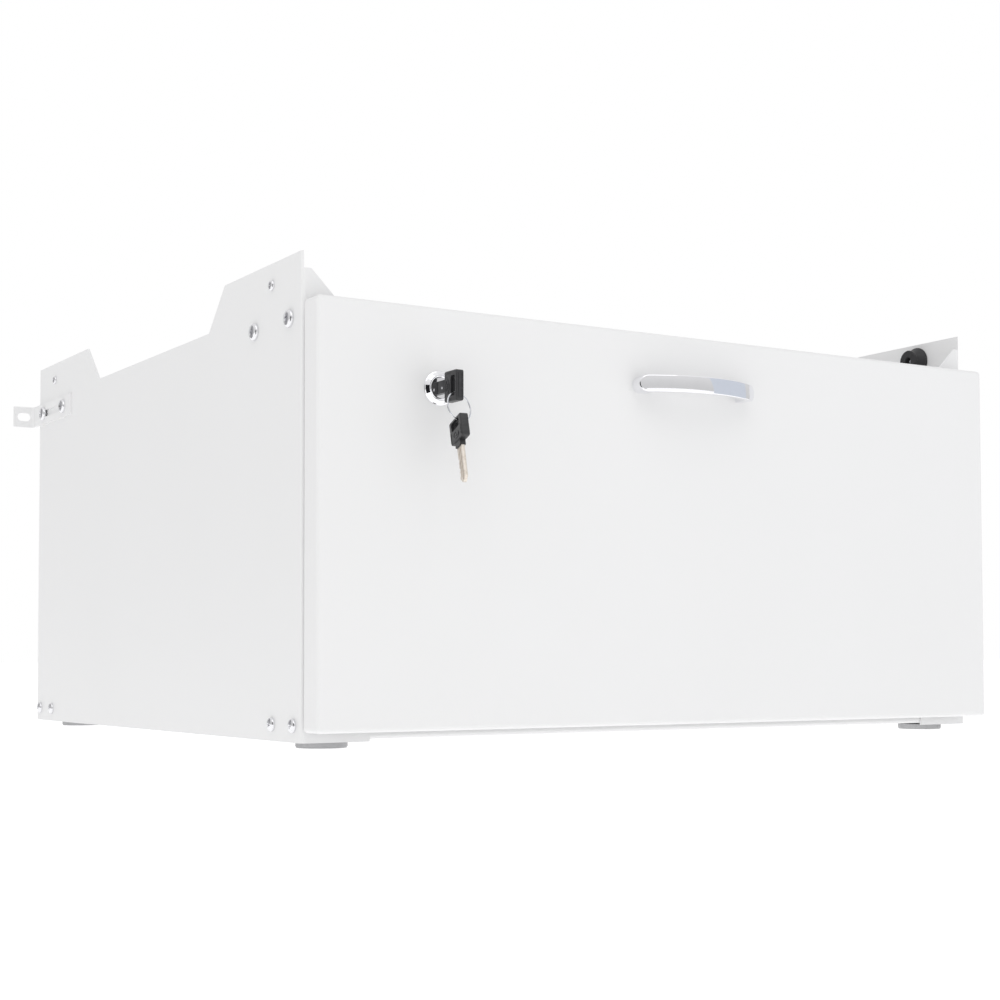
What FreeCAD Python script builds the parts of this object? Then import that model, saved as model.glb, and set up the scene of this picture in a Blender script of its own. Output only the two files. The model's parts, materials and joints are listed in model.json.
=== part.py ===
import FreeCAD, Part
import math
import os
from FreeCAD import Vector

# Lockable parcel drawer cabinet. Millimetres, +Z up, front of the drawer towards -Y.
# While it is built, Y = 0 is the front face of the side panels' front flanges and Z = 0 is
# the floor; every piece is moved along Y as it is saved, so that the origin of the finished
# part is the centre of its footprint.

# --- Driving dimensions -----------------------------------------------------------------

# Cabinet shell
body_width = 640.0          # over the two side panels
body_depth = 600.0          # front flange face to rear flange face
side_height = 310.0         # side panel bottom edge to the deck's top face
sheet = 1.5                 # side panels, deck, floor pan, supports
thin_sheet = 1.0            # back panel, drawer box, drawer front
bend = 3.0                  # outer bend radius of the folded sheet
front_flange = 53.0         # width of the front return flange
rear_flange = 25.0
deck_flange = 35.0          # depth of the turned-down edge of the deck
pan_flange = 25.0           # height of the turned-up edge of the floor pan
pan_lift = 1.6              # floor pan above the side panels' bottom edge
stiffener_width = 60.0
stiffener_depth = 20.0
stiffener_rim = 12.0
stiffener_inset = 200.0     # front and rear flange faces to the stiffeners' middles
rivet_margin = 46.5         # side panels' bottom edge and deck to the outer back rivets

# Corner tabs that stand above the deck
tab_rise = 32.0
tab_slope = 31.0            # run of the sloping edge
tab_corner = 3.0
front_tab = 137.0           # straight top edge of the front tab
rear_tab = 145.0
flange_drop = 12.0          # top of the tab to the top of its return flange
flange_ledge = 7.0          # level stretch before the flange's chamfer

# Feet
foot_height = 4.5
foot_radius = 18.5
foot_stud = 4.0             # stud radius (M8)
foot_stud_length = 16.0
foot_rounding = 0.7
foot_nut = 6.5              # half width across flats
foot_nut_height = 6.0
foot_inset_x = 28.4         # side panel face to foot axis
foot_front = 26.5           # front flange face to front foot axis
foot_rear = 52.0            # rear flange face to rear foot axis

# Rubber buffers on the tabs
buffer_base = 13.0
buffer_nose = 9.8
buffer_length = 12.0
buffer_bore = 3.5
buffer_bore_depth = 6.0
buffer_rounding = 1.0
buffer_inset = 50.0         # from the front and rear flange faces
buffer_drop = 16.0          # below the top of the tab

# Fasteners: shank radius, head radius, head height, half width of nut, nut height
pan_share = 0.6             # rounding of a pan head, as a share of its height
deck_bolt = (3.0, 6.5, 3.6, 5.0, 5.0)
base_bolt = (2.5, 5.1, 3.0, 4.0, 4.0)
buffer_bolt = (2.0, 3.9, 2.4)
handle_bolt = (2.0, 4.0, 2.4)
rivet = (1.6, 3.2, 1.0)
deck_bolt_inset = (20.0, 80.0)      # from the front and rear flange faces
deck_bolt_drop = 13.0               # below the deck's top face
base_bolt_inset = (13.0, 48.0)
base_bolt_rise = 11.7               # above the side panels' bottom edge

# Wall brackets
bracket_height = 20.0
bracket_sheet = 2.0
bracket_start = 100.0       # plate's front end to the rear flange face
bracket_reach = 14.0        # ear's rear face behind the rear flange face
bracket_ear = 21.5          # ear's end to the side panel face
bracket_slot = 6.6          # height of the long adjusting slot
bracket_slot_end = 5.0      # slot's end beyond the bolt axis
bracket_corner = 0.8
wall_slot_width = 8.0
wall_slot_length = 13.0
wall_slot_inset = 10.0      # ear's end to the slot's centre

# Drawer front
front_top_gap = 2.7         # drawer front's top edge to the level of the deck
front_thickness = 20.0
front_gap = 4.5             # flange face to the back of the drawer front
front_lift = 7.3            # side panels' bottom edge to the drawer front's bottom edge
front_corner = 3.2
front_edge = 3.0
bumper_radius = 5.0
bumper_gap = 0.5            # closed drawer front to the bumper
bumper_inset = 20.0         # side panel face to bumper axis
bumper_margin = 40.0        # drawer front's top and bottom edges to the bumper axes

# Drawer box
slide_margin = 4.3          # front flange's edge to the slide's mounting face
box_lift = 38.0             # side panels' bottom edge to the box's underside
box_nut_gap = 13.6          # box's top edge to the lock's ring nut
box_rear_gap = 57.0         # box to the back panel
box_hem = 12.0
angle_leg = 22.0
angle_screw_inset = 13.2    # drawer side to the angle's screws
angle_margin = 17.5         # box's underside and top edge to the angle's ends
screw_margin = 22.5         # angle's ends to its outer screws

# Telescopic ball slides
slide_width = 12.7          # side panel support to drawer side
slide_height = 46.0
slide_rear_gap = 74.0       # slide's rear end to the rear flange face
slide_overlap = 60.0        # slide's length less its travel
slide_sheet = 1.2
slide_bend = 2.0
slide_front = 6.0           # front flange face to the slide's front end
slide_rise = 110.0          # side panels' bottom edge to the slide's centre line
slide_web_gap = 1.0
ball_space = 2.7            # between the lips of two members
ball_clearance = 0.25
cage_length = 120.0
cage_sheet = 0.8
cage_width = 4.0
ball_pitch = 12.0
support_height = 66.0
support_end = 8.0           # support's ends to the flange faces

# Bow handle
handle_length = 112.0
handle_height = 13.0
handle_reach = 27.0         # middle of the bow in front of the drawer front
handle_shoulder = 10.0      # ends of the bow in front of the drawer front
handle_thickness = 4.5
handle_post = 11.5          # length of the foot at each end
handle_holes = 96.0         # screw distance
handle_hole_depth = 6.0
handle_screw_reach = 5.0    # screw's end beyond the drawer front's face
handle_drop = 41.6          # drawer front's top edge to the handle's centre line

# Cam lock
lock_inset = 95.0           # drawer front's left edge to the lock's axis
lock_drop = 58.0            # drawer front's top edge to the lock's axis
bezel_radius = 12.3
bezel_height = 3.6
bezel_seat = 8.3            # inner ring of the bezel
bezel_rim = 1.2             # width of the bezel's flat front rim
bezel_bevel = 0.8           # foot of the sloping flank to the bezel's outer radius
bezel_foot = 1.4            # height of the foot of the sloping flank
bezel_break = 0.6           # small bevels at the bore and at the outer rim
barrel_radius = 9.0
keeper_gap = 2.5            # deck's front edge to the barrel's end
cam_play = 0.3              # barrel's end to the cam
lock_nut = 11.0             # half width across flats
lock_nut_height = 4.0
plug_radius = 7.5
plug_clearance = 0.05
plug_recess = 0.8           # plug's face behind the bezel's rim
tail_square = 7.0
cam_hook = 16.3             # how far the locked cam reaches up behind the deck's edge
cam_width = 16.0
cam_thickness = 2.5
cam_taper = 0.8             # cam's end, as a share of its width
cam_screw_reach = 2.0       # screw hole's depth in the plug beyond the cam

# Keys and ring
blade_width = 8.5
blade_thickness = 2.4
blade_length = 20.0         # from the plug's face to the tip
blade_clearance = 0.3
blade_root = 0.8            # root inside the head and point at the tip, as shares of the blade
blade_cuts = (1.2, 0.7, 1.5, 0.9)
head_width = 21.7
head_length = 16.9
head_thickness = 6.2
head_corner = 1.6
head_drop = 1.2             # head's middle beside the blade's middle
head_slot = 3.8             # width of the ring slot
head_slot_length = 12.0
head_slot_strip = 3.0       # outer edge of the head to the slot
slot_corner = 1.6
recess_rim = 1.2            # shallow recess round the slot
recess_depth = 2.1
neck_width = 9.0
neck_thickness = 4.5
neck_length = 10.1          # first key's neck, from the head to the plug's face
spare_neck = 4.0
ring_radius = 10.6
ring_wire = 0.55
ring_clearance = 0.35
ring_play = 0.3             # room for the turned ring beside the slots' ends
ring_lean = 15.0            # ring hangs with its lower edge forward, degrees
ring_turn = 12.0
spare_lean = 16.6
spare_turn = 9.0            # spare key's plane turned about the vertical, degrees

# --- Places worked out from them --------------------------------------------------------

half = body_width / 2
inner = half - sheet                      # inside face of a side panel
z_base = foot_height                      # side panels' bottom edge
z_deck = z_base + side_height
z_tab = z_deck + tab_rise
y_rear = body_depth
y_back_panel = y_rear - sheet - thin_sheet
z_back_rivets = (z_base + rivet_margin, z_base + side_height / 2, z_deck - rivet_margin)

front_height = side_height - front_lift - front_top_gap
y_front_back = -front_gap                 # back of the drawer front
y_front = y_front_back - front_thickness  # visible face of the drawer front
z_front = z_base + front_lift
z_front_top = z_front + front_height

slide_face = half - front_flange - slide_margin   # slide's mounting face on the support
box_half = slide_face - slide_width
z_slide = z_base + slide_rise
slide_length = y_rear - slide_rear_gap - slide_front
slide_travel = slide_length - slide_overlap

x_lock = -half + lock_inset
z_lock = z_front_top - lock_drop
y_bezel = y_front - bezel_height
y_plug = y_bezel + plug_recess
y_barrel_end = 2 * sheet + keeper_gap
y_cam = y_barrel_end + cam_play
cam_length = z_deck - deck_flange - z_lock + cam_hook

z_box = z_base + box_lift
z_box_top = z_lock - lock_nut / math.cos(math.pi / 6) - box_nut_gap
y_box_rear = y_back_panel - box_rear_gap
z_angle = (z_box + angle_margin, z_box_top - angle_margin)
z_angle_screws = (z_angle[0] + screw_margin, (z_angle[0] + z_angle[1]) / 2, z_angle[1] - screw_margin)
y_neck = y_plug - neck_length             # where the key's head begins
y_key_end = y_neck - head_length
wire_room = ring_wire + ring_clearance    # slot's side to the middle of the ring's wire
lean = math.radians(ring_lean)
y_ring = y_key_end + head_slot_strip + wire_room + ring_play
z_ring_top = z_lock - head_drop - head_slot_length / 2 + wire_room
y_ring_bottom = y_ring - 2 * ring_radius * math.sin(lean)
z_ring_bottom = z_ring_top - 2 * ring_radius * math.cos(lean)

z_handle = z_front_top - handle_drop
x_handle_bolt = handle_holes / 2

y_ear = y_rear + bracket_reach            # rear face of the wall bracket's ear
x_ear = half + bracket_ear
z_deck_bolt = z_deck - deck_bolt_drop
z_base_bolt = z_base + base_bolt_rise
z_buffer = z_tab - buffer_drop
y_deck_bolts = [*deck_bolt_inset, *(y_rear - inset for inset in deck_bolt_inset)]
y_base_bolts = [*base_bolt_inset, *(y_rear - inset for inset in base_bolt_inset)]
y_buffers = {"front": buffer_inset, "rear": y_rear - buffer_inset}
y_feet = {"front": foot_front, "rear": y_rear - foot_rear}


X, Y, Z = Vector(1, 0, 0), Vector(0, 1, 0), Vector(0, 0, 1)
SIDES = {"left": -1, "right": 1}


# --- Shape helpers ----------------------------------------------------------------------

nearly_parallel = 0.999     # cosine above which an edge counts as along an axis
same_place = 1e-6
past = 1.0                  # how far a cutting shape runs past the surface it cuts


def block(x, y, z):
    """Box between pairs of coordinates, each given as (low, high) in any order."""
    low = Vector(min(x), min(y), min(z))
    return Part.makeBox(abs(x[1] - x[0]), abs(y[1] - y[0]), abs(z[1] - z[0]), low)


def rod(radius, start, end):
    """Round bar from one point to another."""
    way = end - start
    return Part.makeCylinder(radius, way.Length, start, way)


def hexagon(half_flats, height, centre, axis):
    """Hexagonal prism that starts at centre and runs along axis."""
    corner = half_flats / math.cos(math.pi / 6)
    points = [Vector(corner * math.cos(k * math.pi / 3), corner * math.sin(k * math.pi / 3), 0)
              for k in range(7)]
    prism = Part.Face(Part.makePolygon(points)).extrude(Vector(0, 0, height))
    prism.Placement = FreeCAD.Placement(centre, FreeCAD.Rotation(Z, axis))
    return prism


def fuse(shapes):
    whole = shapes[0]
    for shape in shapes[1:]:
        whole = whole.fuse(shape)
    return whole.removeSplitter()


def cut(shape, tools):
    for tool in tools:
        shape = shape.cut(tool)
    return shape


def group(shapes):
    """Separate identical pieces kept in one node."""
    return Part.makeCompound(shapes)


def mirrored(shape):
    """The same piece on the other side of the cabinet."""
    return shape.mirror(Vector(0, 0, 0), X)


def edges_along(shape, axis):
    """Straight edges of a shape that run along axis."""
    straight = [edge for edge in shape.Edges if isinstance(edge.Curve, Part.Line)]
    return [edge for edge in straight
            if abs(edge.tangentAt(edge.FirstParameter).dot(axis)) > nearly_parallel]


def prism(points, plane, start, end):
    """Flat outline in the plane XZ or YZ, made solid from start to end along the third axis."""
    place = {"XZ": lambda u, v: Vector(u, start, v), "YZ": lambda u, v: Vector(start, u, v),
             "XY": lambda u, v: Vector(u, v, start)}[plane]
    way = {"XZ": Y, "YZ": X, "XY": Z}[plane] * (end - start)
    outline = [place(u, v) for u, v in points]
    return Part.Face(Part.makePolygon(outline + outline[:1])).extrude(way)


def folded(points, thickness, radius, side, plane, start, end):
    """Folded sheet. points is the line of one face, and side (+1 left, -1 right of the line's
    direction) is where the thickness goes; radius is the outer radius of every bend."""
    place = {"XZ": lambda u, v: Vector(u, start, v), "YZ": lambda u, v: Vector(start, u, v),
             "XY": lambda u, v: Vector(u, v, start)}[plane]
    way = {"XZ": Y, "YZ": X, "XY": Z}[plane] * (end - start)
    line = [Vector(u, v, 0) for u, v in points]
    runs = [(b - a).normalize() for a, b in zip(line, line[1:])]
    normals = [Vector(-run.y, run.x, 0) * side for run in runs]
    near, far = line[0], line[0] + normals[0] * thickness
    arcs = []
    for corner, (run, after, normal, normal_after) in enumerate(
            zip(runs, runs[1:], normals, normals[1:]), start=1):
        turn = run.cross(after).z * side
        line_radius = radius if turn > 0 else radius - thickness
        angle = run.getAngle(after)
        reach = line_radius * math.tan(angle / 2)
        first, last = line[corner] - run * reach, line[corner] + after * reach
        centre = first + normal * line_radius * (1 if turn > 0 else -1)
        middle = (line[corner] - centre).normalize()
        far_radius = abs(line_radius - thickness) if turn > 0 else line_radius + thickness
        arcs.append((first, centre + middle * line_radius, last,
                     first + normal * thickness, centre + middle * far_radius,
                     last + normal_after * thickness))
    last_near, last_far = line[-1], line[-1] + normals[-1] * thickness

    def side_edges(begin, end_point, picks):
        here, edges = begin, []
        for arc in arcs:
            a, m, b = (arc[k] for k in picks)
            edges.append(Part.makeLine(place(here.x, here.y), place(a.x, a.y)))
            edges.append(Part.Arc(place(a.x, a.y), place(m.x, m.y), place(b.x, b.y)).toShape())
            here = b
        edges.append(Part.makeLine(place(here.x, here.y), place(end_point.x, end_point.y)))
        return edges

    edges = side_edges(near, last_near, (0, 1, 2)) + side_edges(far, last_far, (3, 4, 5))
    edges.append(Part.makeLine(place(near.x, near.y), place(far.x, far.y)))
    edges.append(Part.makeLine(place(last_near.x, last_near.y), place(last_far.x, last_far.y)))
    outline = Part.Wire(Part.__sortEdges__(edges))
    return Part.Face(outline).extrude(way)


def rounded_block(x, y, z, open_axis, closed_at, corner, edge):
    """Box whose edges along open_axis are rounded by corner, and the rim of its closed end by edge."""
    shape = block(x, y, z)
    if corner > 0:
        shape = shape.makeFillet(corner, edges_along(shape, open_axis))
    if edge > 0:
        rim = [e for e in shape.Edges
               if all(abs(v.Point.dot(open_axis) - closed_at) < same_place for v in e.Vertexes)]
        shape = shape.makeFillet(edge, rim)
    return shape


def tray(x, y, z, open_axis, opens_up, thickness, corner, edge):
    """Shallow folded tray. It is open at the high end of open_axis if opens_up, else at the low end."""
    spans = [sorted(x), sorted(y), sorted(z)]
    index = [X, Y, Z].index(open_axis)
    low, high = spans[index]
    closed_at = low if opens_up else high
    outside = rounded_block(*spans, open_axis, closed_at, corner, edge)
    cavity = [[a + thickness, b - thickness] for a, b in spans]
    inner_floor = closed_at + thickness if opens_up else closed_at - thickness
    past_open = high + 1 if opens_up else low - 1
    cavity[index] = sorted([inner_floor, past_open])
    inside = rounded_block(*cavity, open_axis, inner_floor,
                           max(corner - thickness, 0), max(edge - thickness, 0))
    return outside.cut(inside)


def pan_head(size, seat, axis, depth):
    """Pan-head screw: its head's underside is at seat, the head stands along axis and the
    shank runs depth the other way."""
    shank, head, height = size[:3]
    dome = Part.makeCylinder(head, height, seat, axis)
    top = [e for e in dome.Edges if isinstance(e.Curve, Part.Circle)
           and abs((e.Curve.Center - seat).dot(axis) - height) < same_place]
    dome = dome.makeFillet(height * pan_share, top)
    return dome.fuse(rod(shank, seat, seat - axis * depth))


def nut(half_flats, height, bore, seat, axis):
    """Hexagon nut that sits on seat and stands along axis."""
    return hexagon(half_flats, height, seat, axis).cut(rod(bore, seat - axis, seat + axis * (height + 1)))


# --- Cabinet shell ----------------------------------------------------------------------

def flange_outline(reach):
    """Front or rear view of a left side panel's return flange, for the cut above its chamfer."""
    top = z_tab - flange_drop
    fall = reach - flange_ledge
    above, beyond = z_tab + bend, -half + reach + bend
    return [(-half + sheet, above), (-half + sheet, top), (-half + flange_ledge, top),
            (-half + reach, top - fall), (beyond, top - fall), (beyond, above)]


def side_panel_left():
    """One sheet: the side with its two corner tabs, and a return flange at the front and rear."""
    line = [(-half + front_flange, 0), (-half, 0), (-half, y_rear), (-half + rear_flange, y_rear)]
    panel = folded(line, sheet, bend, -1, "XY", z_base, z_tab)
    y_rear_tab = y_rear - rear_tab
    dip = [(front_tab, z_tab + past), (front_tab, z_tab), (front_tab + tab_slope, z_deck),
           (y_rear_tab - tab_slope, z_deck), (y_rear_tab, z_tab), (y_rear_tab, z_tab + past)]
    recess = prism(dip, "YZ", -half - 1, -half + bend)
    over_front = prism(flange_outline(front_flange), "XZ", -1, bend)
    over_rear = prism(flange_outline(rear_flange), "XZ", y_rear - bend, y_rear + 1)
    panel = cut(panel, [recess, over_front, over_rear])
    sharp = [e for e in edges_along(panel, X)
             if e.Length < sheet + 0.1 and e.Vertexes[0].Z > z_deck + 1
             and tab_corner < e.Vertexes[0].Y < y_rear - tab_corner]
    panel = panel.makeFillet(tab_corner, sharp)
    places = [(deck_bolt[0], y, z_deck_bolt) for y in y_deck_bolts]
    places += [(base_bolt[0], y, z_base_bolt) for y in y_base_bolts]
    places += [(buffer_bolt[0], y, z_buffer) for y in y_buffers.values()]
    return cut(panel, [rod(radius, Vector(-half - past, y, z), Vector(-inner + past, y, z))
                       for radius, y, z in places])


def deck():
    """Top deck, folded down all round; its front edge is what the lock's cam hooks behind."""
    shape = tray((-inner, inner), (sheet, y_back_panel), (z_deck - deck_flange, z_deck), Z, False,
                 sheet, bend, bend)
    return cut(shape, [rod(deck_bolt[0], Vector(-half, y, z_deck_bolt), Vector(half, y, z_deck_bolt))
                       for y in y_deck_bolts])


def deck_stiffener(y_middle):
    """Hat section under the deck, from side to side."""
    top, foot = z_deck - sheet, stiffener_width / 2
    crown = foot - stiffener_rim
    line = [(y_middle - foot, top), (y_middle - crown, top), (y_middle - crown, top - stiffener_depth),
            (y_middle + crown, top - stiffener_depth), (y_middle + crown, top), (y_middle + foot, top)]
    reach = inner - bend
    return folded(line, sheet, bend, -1, "YZ", -reach, reach)


def floor_pan():
    """Bottom of the cabinet, folded up all round, with the foot studs' holes."""
    z = z_base + pan_lift
    shape = tray((-inner, inner), (sheet, y_back_panel), (z, z + pan_flange), Z, True, sheet, bend, bend)
    holes = [rod(base_bolt[0], Vector(-half, y, z_base_bolt), Vector(half, y, z_base_bolt))
             for y in y_base_bolts]
    holes += [rod(foot_stud, Vector(x, y, 0), Vector(x, y, z + sheet + past))
              for x, y in foot_places().values()]
    return cut(shape, holes)


def back_panel():
    reach = inner - bend
    return block((-reach, reach), (y_back_panel, y_back_panel + thin_sheet),
                 (z_base + pan_lift, z_deck - bend))


def back_rivets():
    """Rivets through the rear flanges and the back panel."""
    shank, height = rivet[0], rivet[2]
    seats = [Vector(side * (half - rear_flange / 2), y_rear, z)
             for side in SIDES.values() for z in z_back_rivets]
    return group([pan_head(rivet, seat, Y, sheet + thin_sheet + height) for seat in seats]), \
        [rod(shank, seat + Y, seat - Y * (sheet + thin_sheet + 1)) for seat in seats]


def slide_support_left():
    """Channel that carries the slide at the drawer's width, open towards the side panel."""
    low, high = z_slide - support_height / 2, z_slide + support_height / 2
    line = [(-inner, low), (-slide_face, low), (-slide_face, high), (-inner, high)]
    return folded(line, sheet, bend, 1, "XZ", support_end, y_rear - support_end)


# --- Feet, buffers and brackets -----------------------------------------------------------

def foot_places():
    return {f"{end}_{side}": (sign * (half - foot_inset_x), y)
            for end, y in y_feet.items() for side, sign in SIDES.items()}


def foot(x, y):
    """Glide: a flat pad with its threaded stud."""
    pad = Part.makeCylinder(foot_radius, foot_height, Vector(x, y, 0), Z)
    rims = [e for e in pad.Edges if isinstance(e.Curve, Part.Circle)]
    pad = pad.makeFillet(foot_rounding, rims)
    stud_top = Vector(x, y, foot_height + foot_stud_length)
    return pad.fuse(rod(foot_stud, Vector(x, y, foot_height / 2), stud_top))


def foot_nuts():
    seat = z_base + pan_lift + sheet
    return group([nut(foot_nut, foot_nut_height, foot_stud, Vector(x, y, seat), Z)
                  for x, y in foot_places().values()])


def buffer_left(y):
    """Rubber buffer on the inside of a left tab: a cone with a screw bore in its nose."""
    cone = Part.makeCone(buffer_base, buffer_nose, buffer_length, Vector(-inner, y, z_buffer), X)
    nose = [e for e in cone.Edges
            if isinstance(e.Curve, Part.Circle) and abs(e.Curve.Radius - buffer_nose) < same_place]
    cone = cone.makeFillet(buffer_rounding, nose)
    tip = Vector(-inner + buffer_length, y, z_buffer)
    bolt = rod(buffer_bolt[0], Vector(-inner - 1, y, z_buffer), tip)
    return cut(cone, [rod(buffer_bore, tip - X * buffer_bore_depth, tip + X), bolt])


def buffer_screws():
    depth = sheet + buffer_length - buffer_bore_depth
    screws = [pan_head(buffer_bolt, Vector(-half, y, z_buffer), -X, depth + 1) for y in y_buffers.values()]
    return group(screws + [mirrored(screw) for screw in screws])


def wall_bracket_left():
    """Strip bolted along the side panel, with an ear turned out against the wall."""
    y_plate = y_rear - bracket_start
    low, high = z_deck_bolt - bracket_height / 2, z_deck_bolt + bracket_height / 2
    line = [(-half, y_plate), (-half, y_ear), (-x_ear, y_ear)]
    strip = folded(line, bracket_sheet, bend + bracket_sheet, 1, "XY", low, high)
    near, far = sorted(y for y in y_deck_bolts if y > y_rear / 2)
    ends = (near - bracket_slot_end, far + bracket_slot_end)
    long_slot = slot(ends, z_deck_bolt, bracket_slot / 2, "YZ", -half - bracket_sheet - 1, -half)
    x_slot = -x_ear + wall_slot_inset
    reach = wall_slot_length / 2
    wall_slot = slot((x_slot - reach, x_slot + reach), z_deck_bolt, wall_slot_width / 2, "XZ",
                     y_ear - bracket_sheet - 1, y_ear + 1)
    strip = cut(strip, [long_slot, wall_slot])
    front_corners = [e for e in edges_along(strip, X) if abs(e.Vertexes[0].Y - y_plate) < same_place]
    ear_corners = [e for e in edges_along(strip, Y) if abs(e.Vertexes[0].X + x_ear) < same_place]
    return strip.makeFillet(bracket_corner, front_corners + ear_corners)


def slot(ends, z, radius, plane, start, end):
    """Round-ended slot, along the first axis of the plane, between its two extreme ends."""
    u = [ends[0] + radius, ends[1] - radius]
    bar = prism([(u[0], z - radius), (u[1], z - radius), (u[1], z + radius), (u[0], z + radius)],
                plane, start, end)
    place = {"XZ": lambda c, w: Vector(c, w, z), "YZ": lambda c, w: Vector(w, c, z)}[plane]
    return fuse([bar] + [rod(radius, place(c, start), place(c, end)) for c in u])


# --- Cabinet fasteners --------------------------------------------------------------------

def deck_bolts():
    """Large pan heads outside; the rear ones also clamp the wall brackets."""
    bolts = []
    for y in y_deck_bolts:
        seat = half + bracket_sheet if y > y_rear / 2 else half
        depth = seat - inner + sheet + deck_bolt[4] + 1
        bolts.append(pan_head(deck_bolt, Vector(-seat, y, z_deck_bolt), -X, depth))
    return group(bolts + [mirrored(bolt) for bolt in bolts])


def deck_nuts():
    nuts = [nut(deck_bolt[3], deck_bolt[4], deck_bolt[0], Vector(-inner + sheet, y, z_deck_bolt), X)
            for y in y_deck_bolts]
    return group(nuts + [mirrored(piece) for piece in nuts])


def base_bolts():
    depth = 2 * sheet + base_bolt[4] + 1
    bolts = [pan_head(base_bolt, Vector(-half, y, z_base_bolt), -X, depth) for y in y_base_bolts]
    return group(bolts + [mirrored(bolt) for bolt in bolts])


def base_nuts():
    nuts = [nut(base_bolt[3], base_bolt[4], base_bolt[0], Vector(-inner + sheet, y, z_base_bolt), X)
            for y in y_base_bolts]
    return group(nuts + [mirrored(piece) for piece in nuts])


def front_bumpers():
    """Soft buttons on the front flanges that the closed drawer front meets."""
    heights = (z_front + bumper_margin, z_front_top - bumper_margin)
    places = [Vector(side * (half - bumper_inset), 0, z) for side in SIDES.values() for z in heights]
    return group([Part.makeCylinder(bumper_radius, front_gap - bumper_gap, place, -Y)
                  for place in places])


# --- Telescopic slides --------------------------------------------------------------------

lip = slide_height / 2
lip_middle = lip - slide_sheet - ball_space
lip_inner = lip_middle - slide_sheet - ball_space
x_middle = slide_face - slide_sheet - slide_web_gap
y_slide = (slide_front, slide_front + slide_length)
y_cage = (slide_front + (slide_length - cage_length) / 2, slide_front + (slide_length + cage_length) / 2)
lip_end = box_half + 2 * slide_web_gap


def slide_outer_left():
    line = [(-lip_end, z_slide - lip), (-slide_face, z_slide - lip),
            (-slide_face, z_slide + lip), (-lip_end, z_slide + lip)]
    return folded(line, slide_sheet, slide_bend, -1, "XZ", *y_slide)


def slide_middle_left():
    line = [(-lip_end, z_slide - lip_middle), (-x_middle, z_slide - lip_middle),
            (-x_middle, z_slide + lip_middle), (-lip_end, z_slide + lip_middle)]
    return folded(line, slide_sheet, slide_bend, -1, "XZ", *y_slide)


def slide_inner_left():
    tip = x_middle - slide_sheet - slide_web_gap
    line = [(-tip, z_slide - lip_inner), (-box_half, z_slide - lip_inner),
            (-box_half, z_slide + lip_inner), (-tip, z_slide + lip_inner)]
    return folded(line, slide_sheet, slide_bend, 1, "XZ", *y_slide)


def ball_cage_left(outer_lip):
    """Two strips of balls, above and below, that run in the space inside outer_lip."""
    gap_middle = outer_lip - slide_sheet - ball_space / 2
    ball = ball_space / 2 - ball_clearance
    x = -(lip_end + x_middle - slide_sheet - slide_bend) / 2
    count = int(cage_length // ball_pitch)
    strips = []
    for up in (-1, 1):
        z = z_slide + up * gap_middle
        strip = block((x - cage_width / 2, x + cage_width / 2), y_cage,
                      (z - cage_sheet / 2, z + cage_sheet / 2))
        start = (y_cage[0] + y_cage[1] - (count - 1) * ball_pitch) / 2
        balls = [Part.makeSphere(ball, Vector(x, start + k * ball_pitch, z)) for k in range(count)]
        strips.append(strip.multiFuse(balls))
    return group(strips)


# --- Drawer -------------------------------------------------------------------------------

def front_holes():
    """Everything that passes through the drawer front."""
    places = [(barrel_radius, x_lock, z_lock)]
    places += [(handle_bolt[0], side * x_handle_bolt, z_handle) for side in SIDES.values()]
    return [rod(radius, Vector(x, y_front - past, z), Vector(x, y_front_back + past, z))
            for radius, x, z in places]


def front_skin():
    """Outer shell of the drawer front, folded back at all four edges."""
    shape = tray((-half, half), (y_front, y_front_back), (z_front, z_front_top), Y, True,
                 thin_sheet, front_corner, front_edge)
    return cut(shape, front_holes())


def front_backing():
    """Inner sheet that closes the hollow drawer front."""
    gap = thin_sheet
    plate = rounded_block((-half + gap, half - gap), (y_front_back - thin_sheet, y_front_back),
                          (z_front + gap, z_front_top - gap), Y, y_front_back, front_corner - gap, 0)
    return cut(plate, front_holes() + front_screw_holes())


def drawer_side_left():
    """Side of the drawer box, hemmed inwards at the top and under the floor."""
    edge = box_half - box_hem
    line = [(-edge, z_box), (-box_half, z_box), (-box_half, z_box_top), (-edge, z_box_top)]
    return folded(line, thin_sheet, 2 * thin_sheet, -1, "XZ", y_front_back, y_box_rear)


def drawer_floor():
    reach = box_half - 2 * thin_sheet
    return block((-reach, reach), (y_front_back, y_box_rear - thin_sheet),
                 (z_box + thin_sheet, z_box + 2 * thin_sheet))


def drawer_back():
    reach = box_half - 2 * thin_sheet
    return block((-reach, reach), (y_box_rear - thin_sheet, y_box_rear),
                 (z_box + thin_sheet, z_box_top - thin_sheet))


def front_angle_left():
    """Angle that joins the drawer side to the back of the drawer front."""
    x = -(box_half - thin_sheet)
    line = [(x + angle_leg, y_front_back), (x, y_front_back), (x, y_front_back + angle_leg)]
    angle = folded(line, sheet, bend, -1, "XY", *z_angle)
    return cut(angle, front_screw_holes())


def front_screw_seats():
    x = box_half - thin_sheet - angle_screw_inset
    return [Vector(side * x, y_front_back + sheet, z) for side in SIDES.values() for z in z_angle_screws]


def front_screw_holes():
    return [rod(rivet[0], seat + Y, seat - Y * (sheet + thin_sheet + 1)) for seat in front_screw_seats()]


def front_screws():
    return group([pan_head(rivet, seat, Y, sheet + thin_sheet) for seat in front_screw_seats()])


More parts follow.
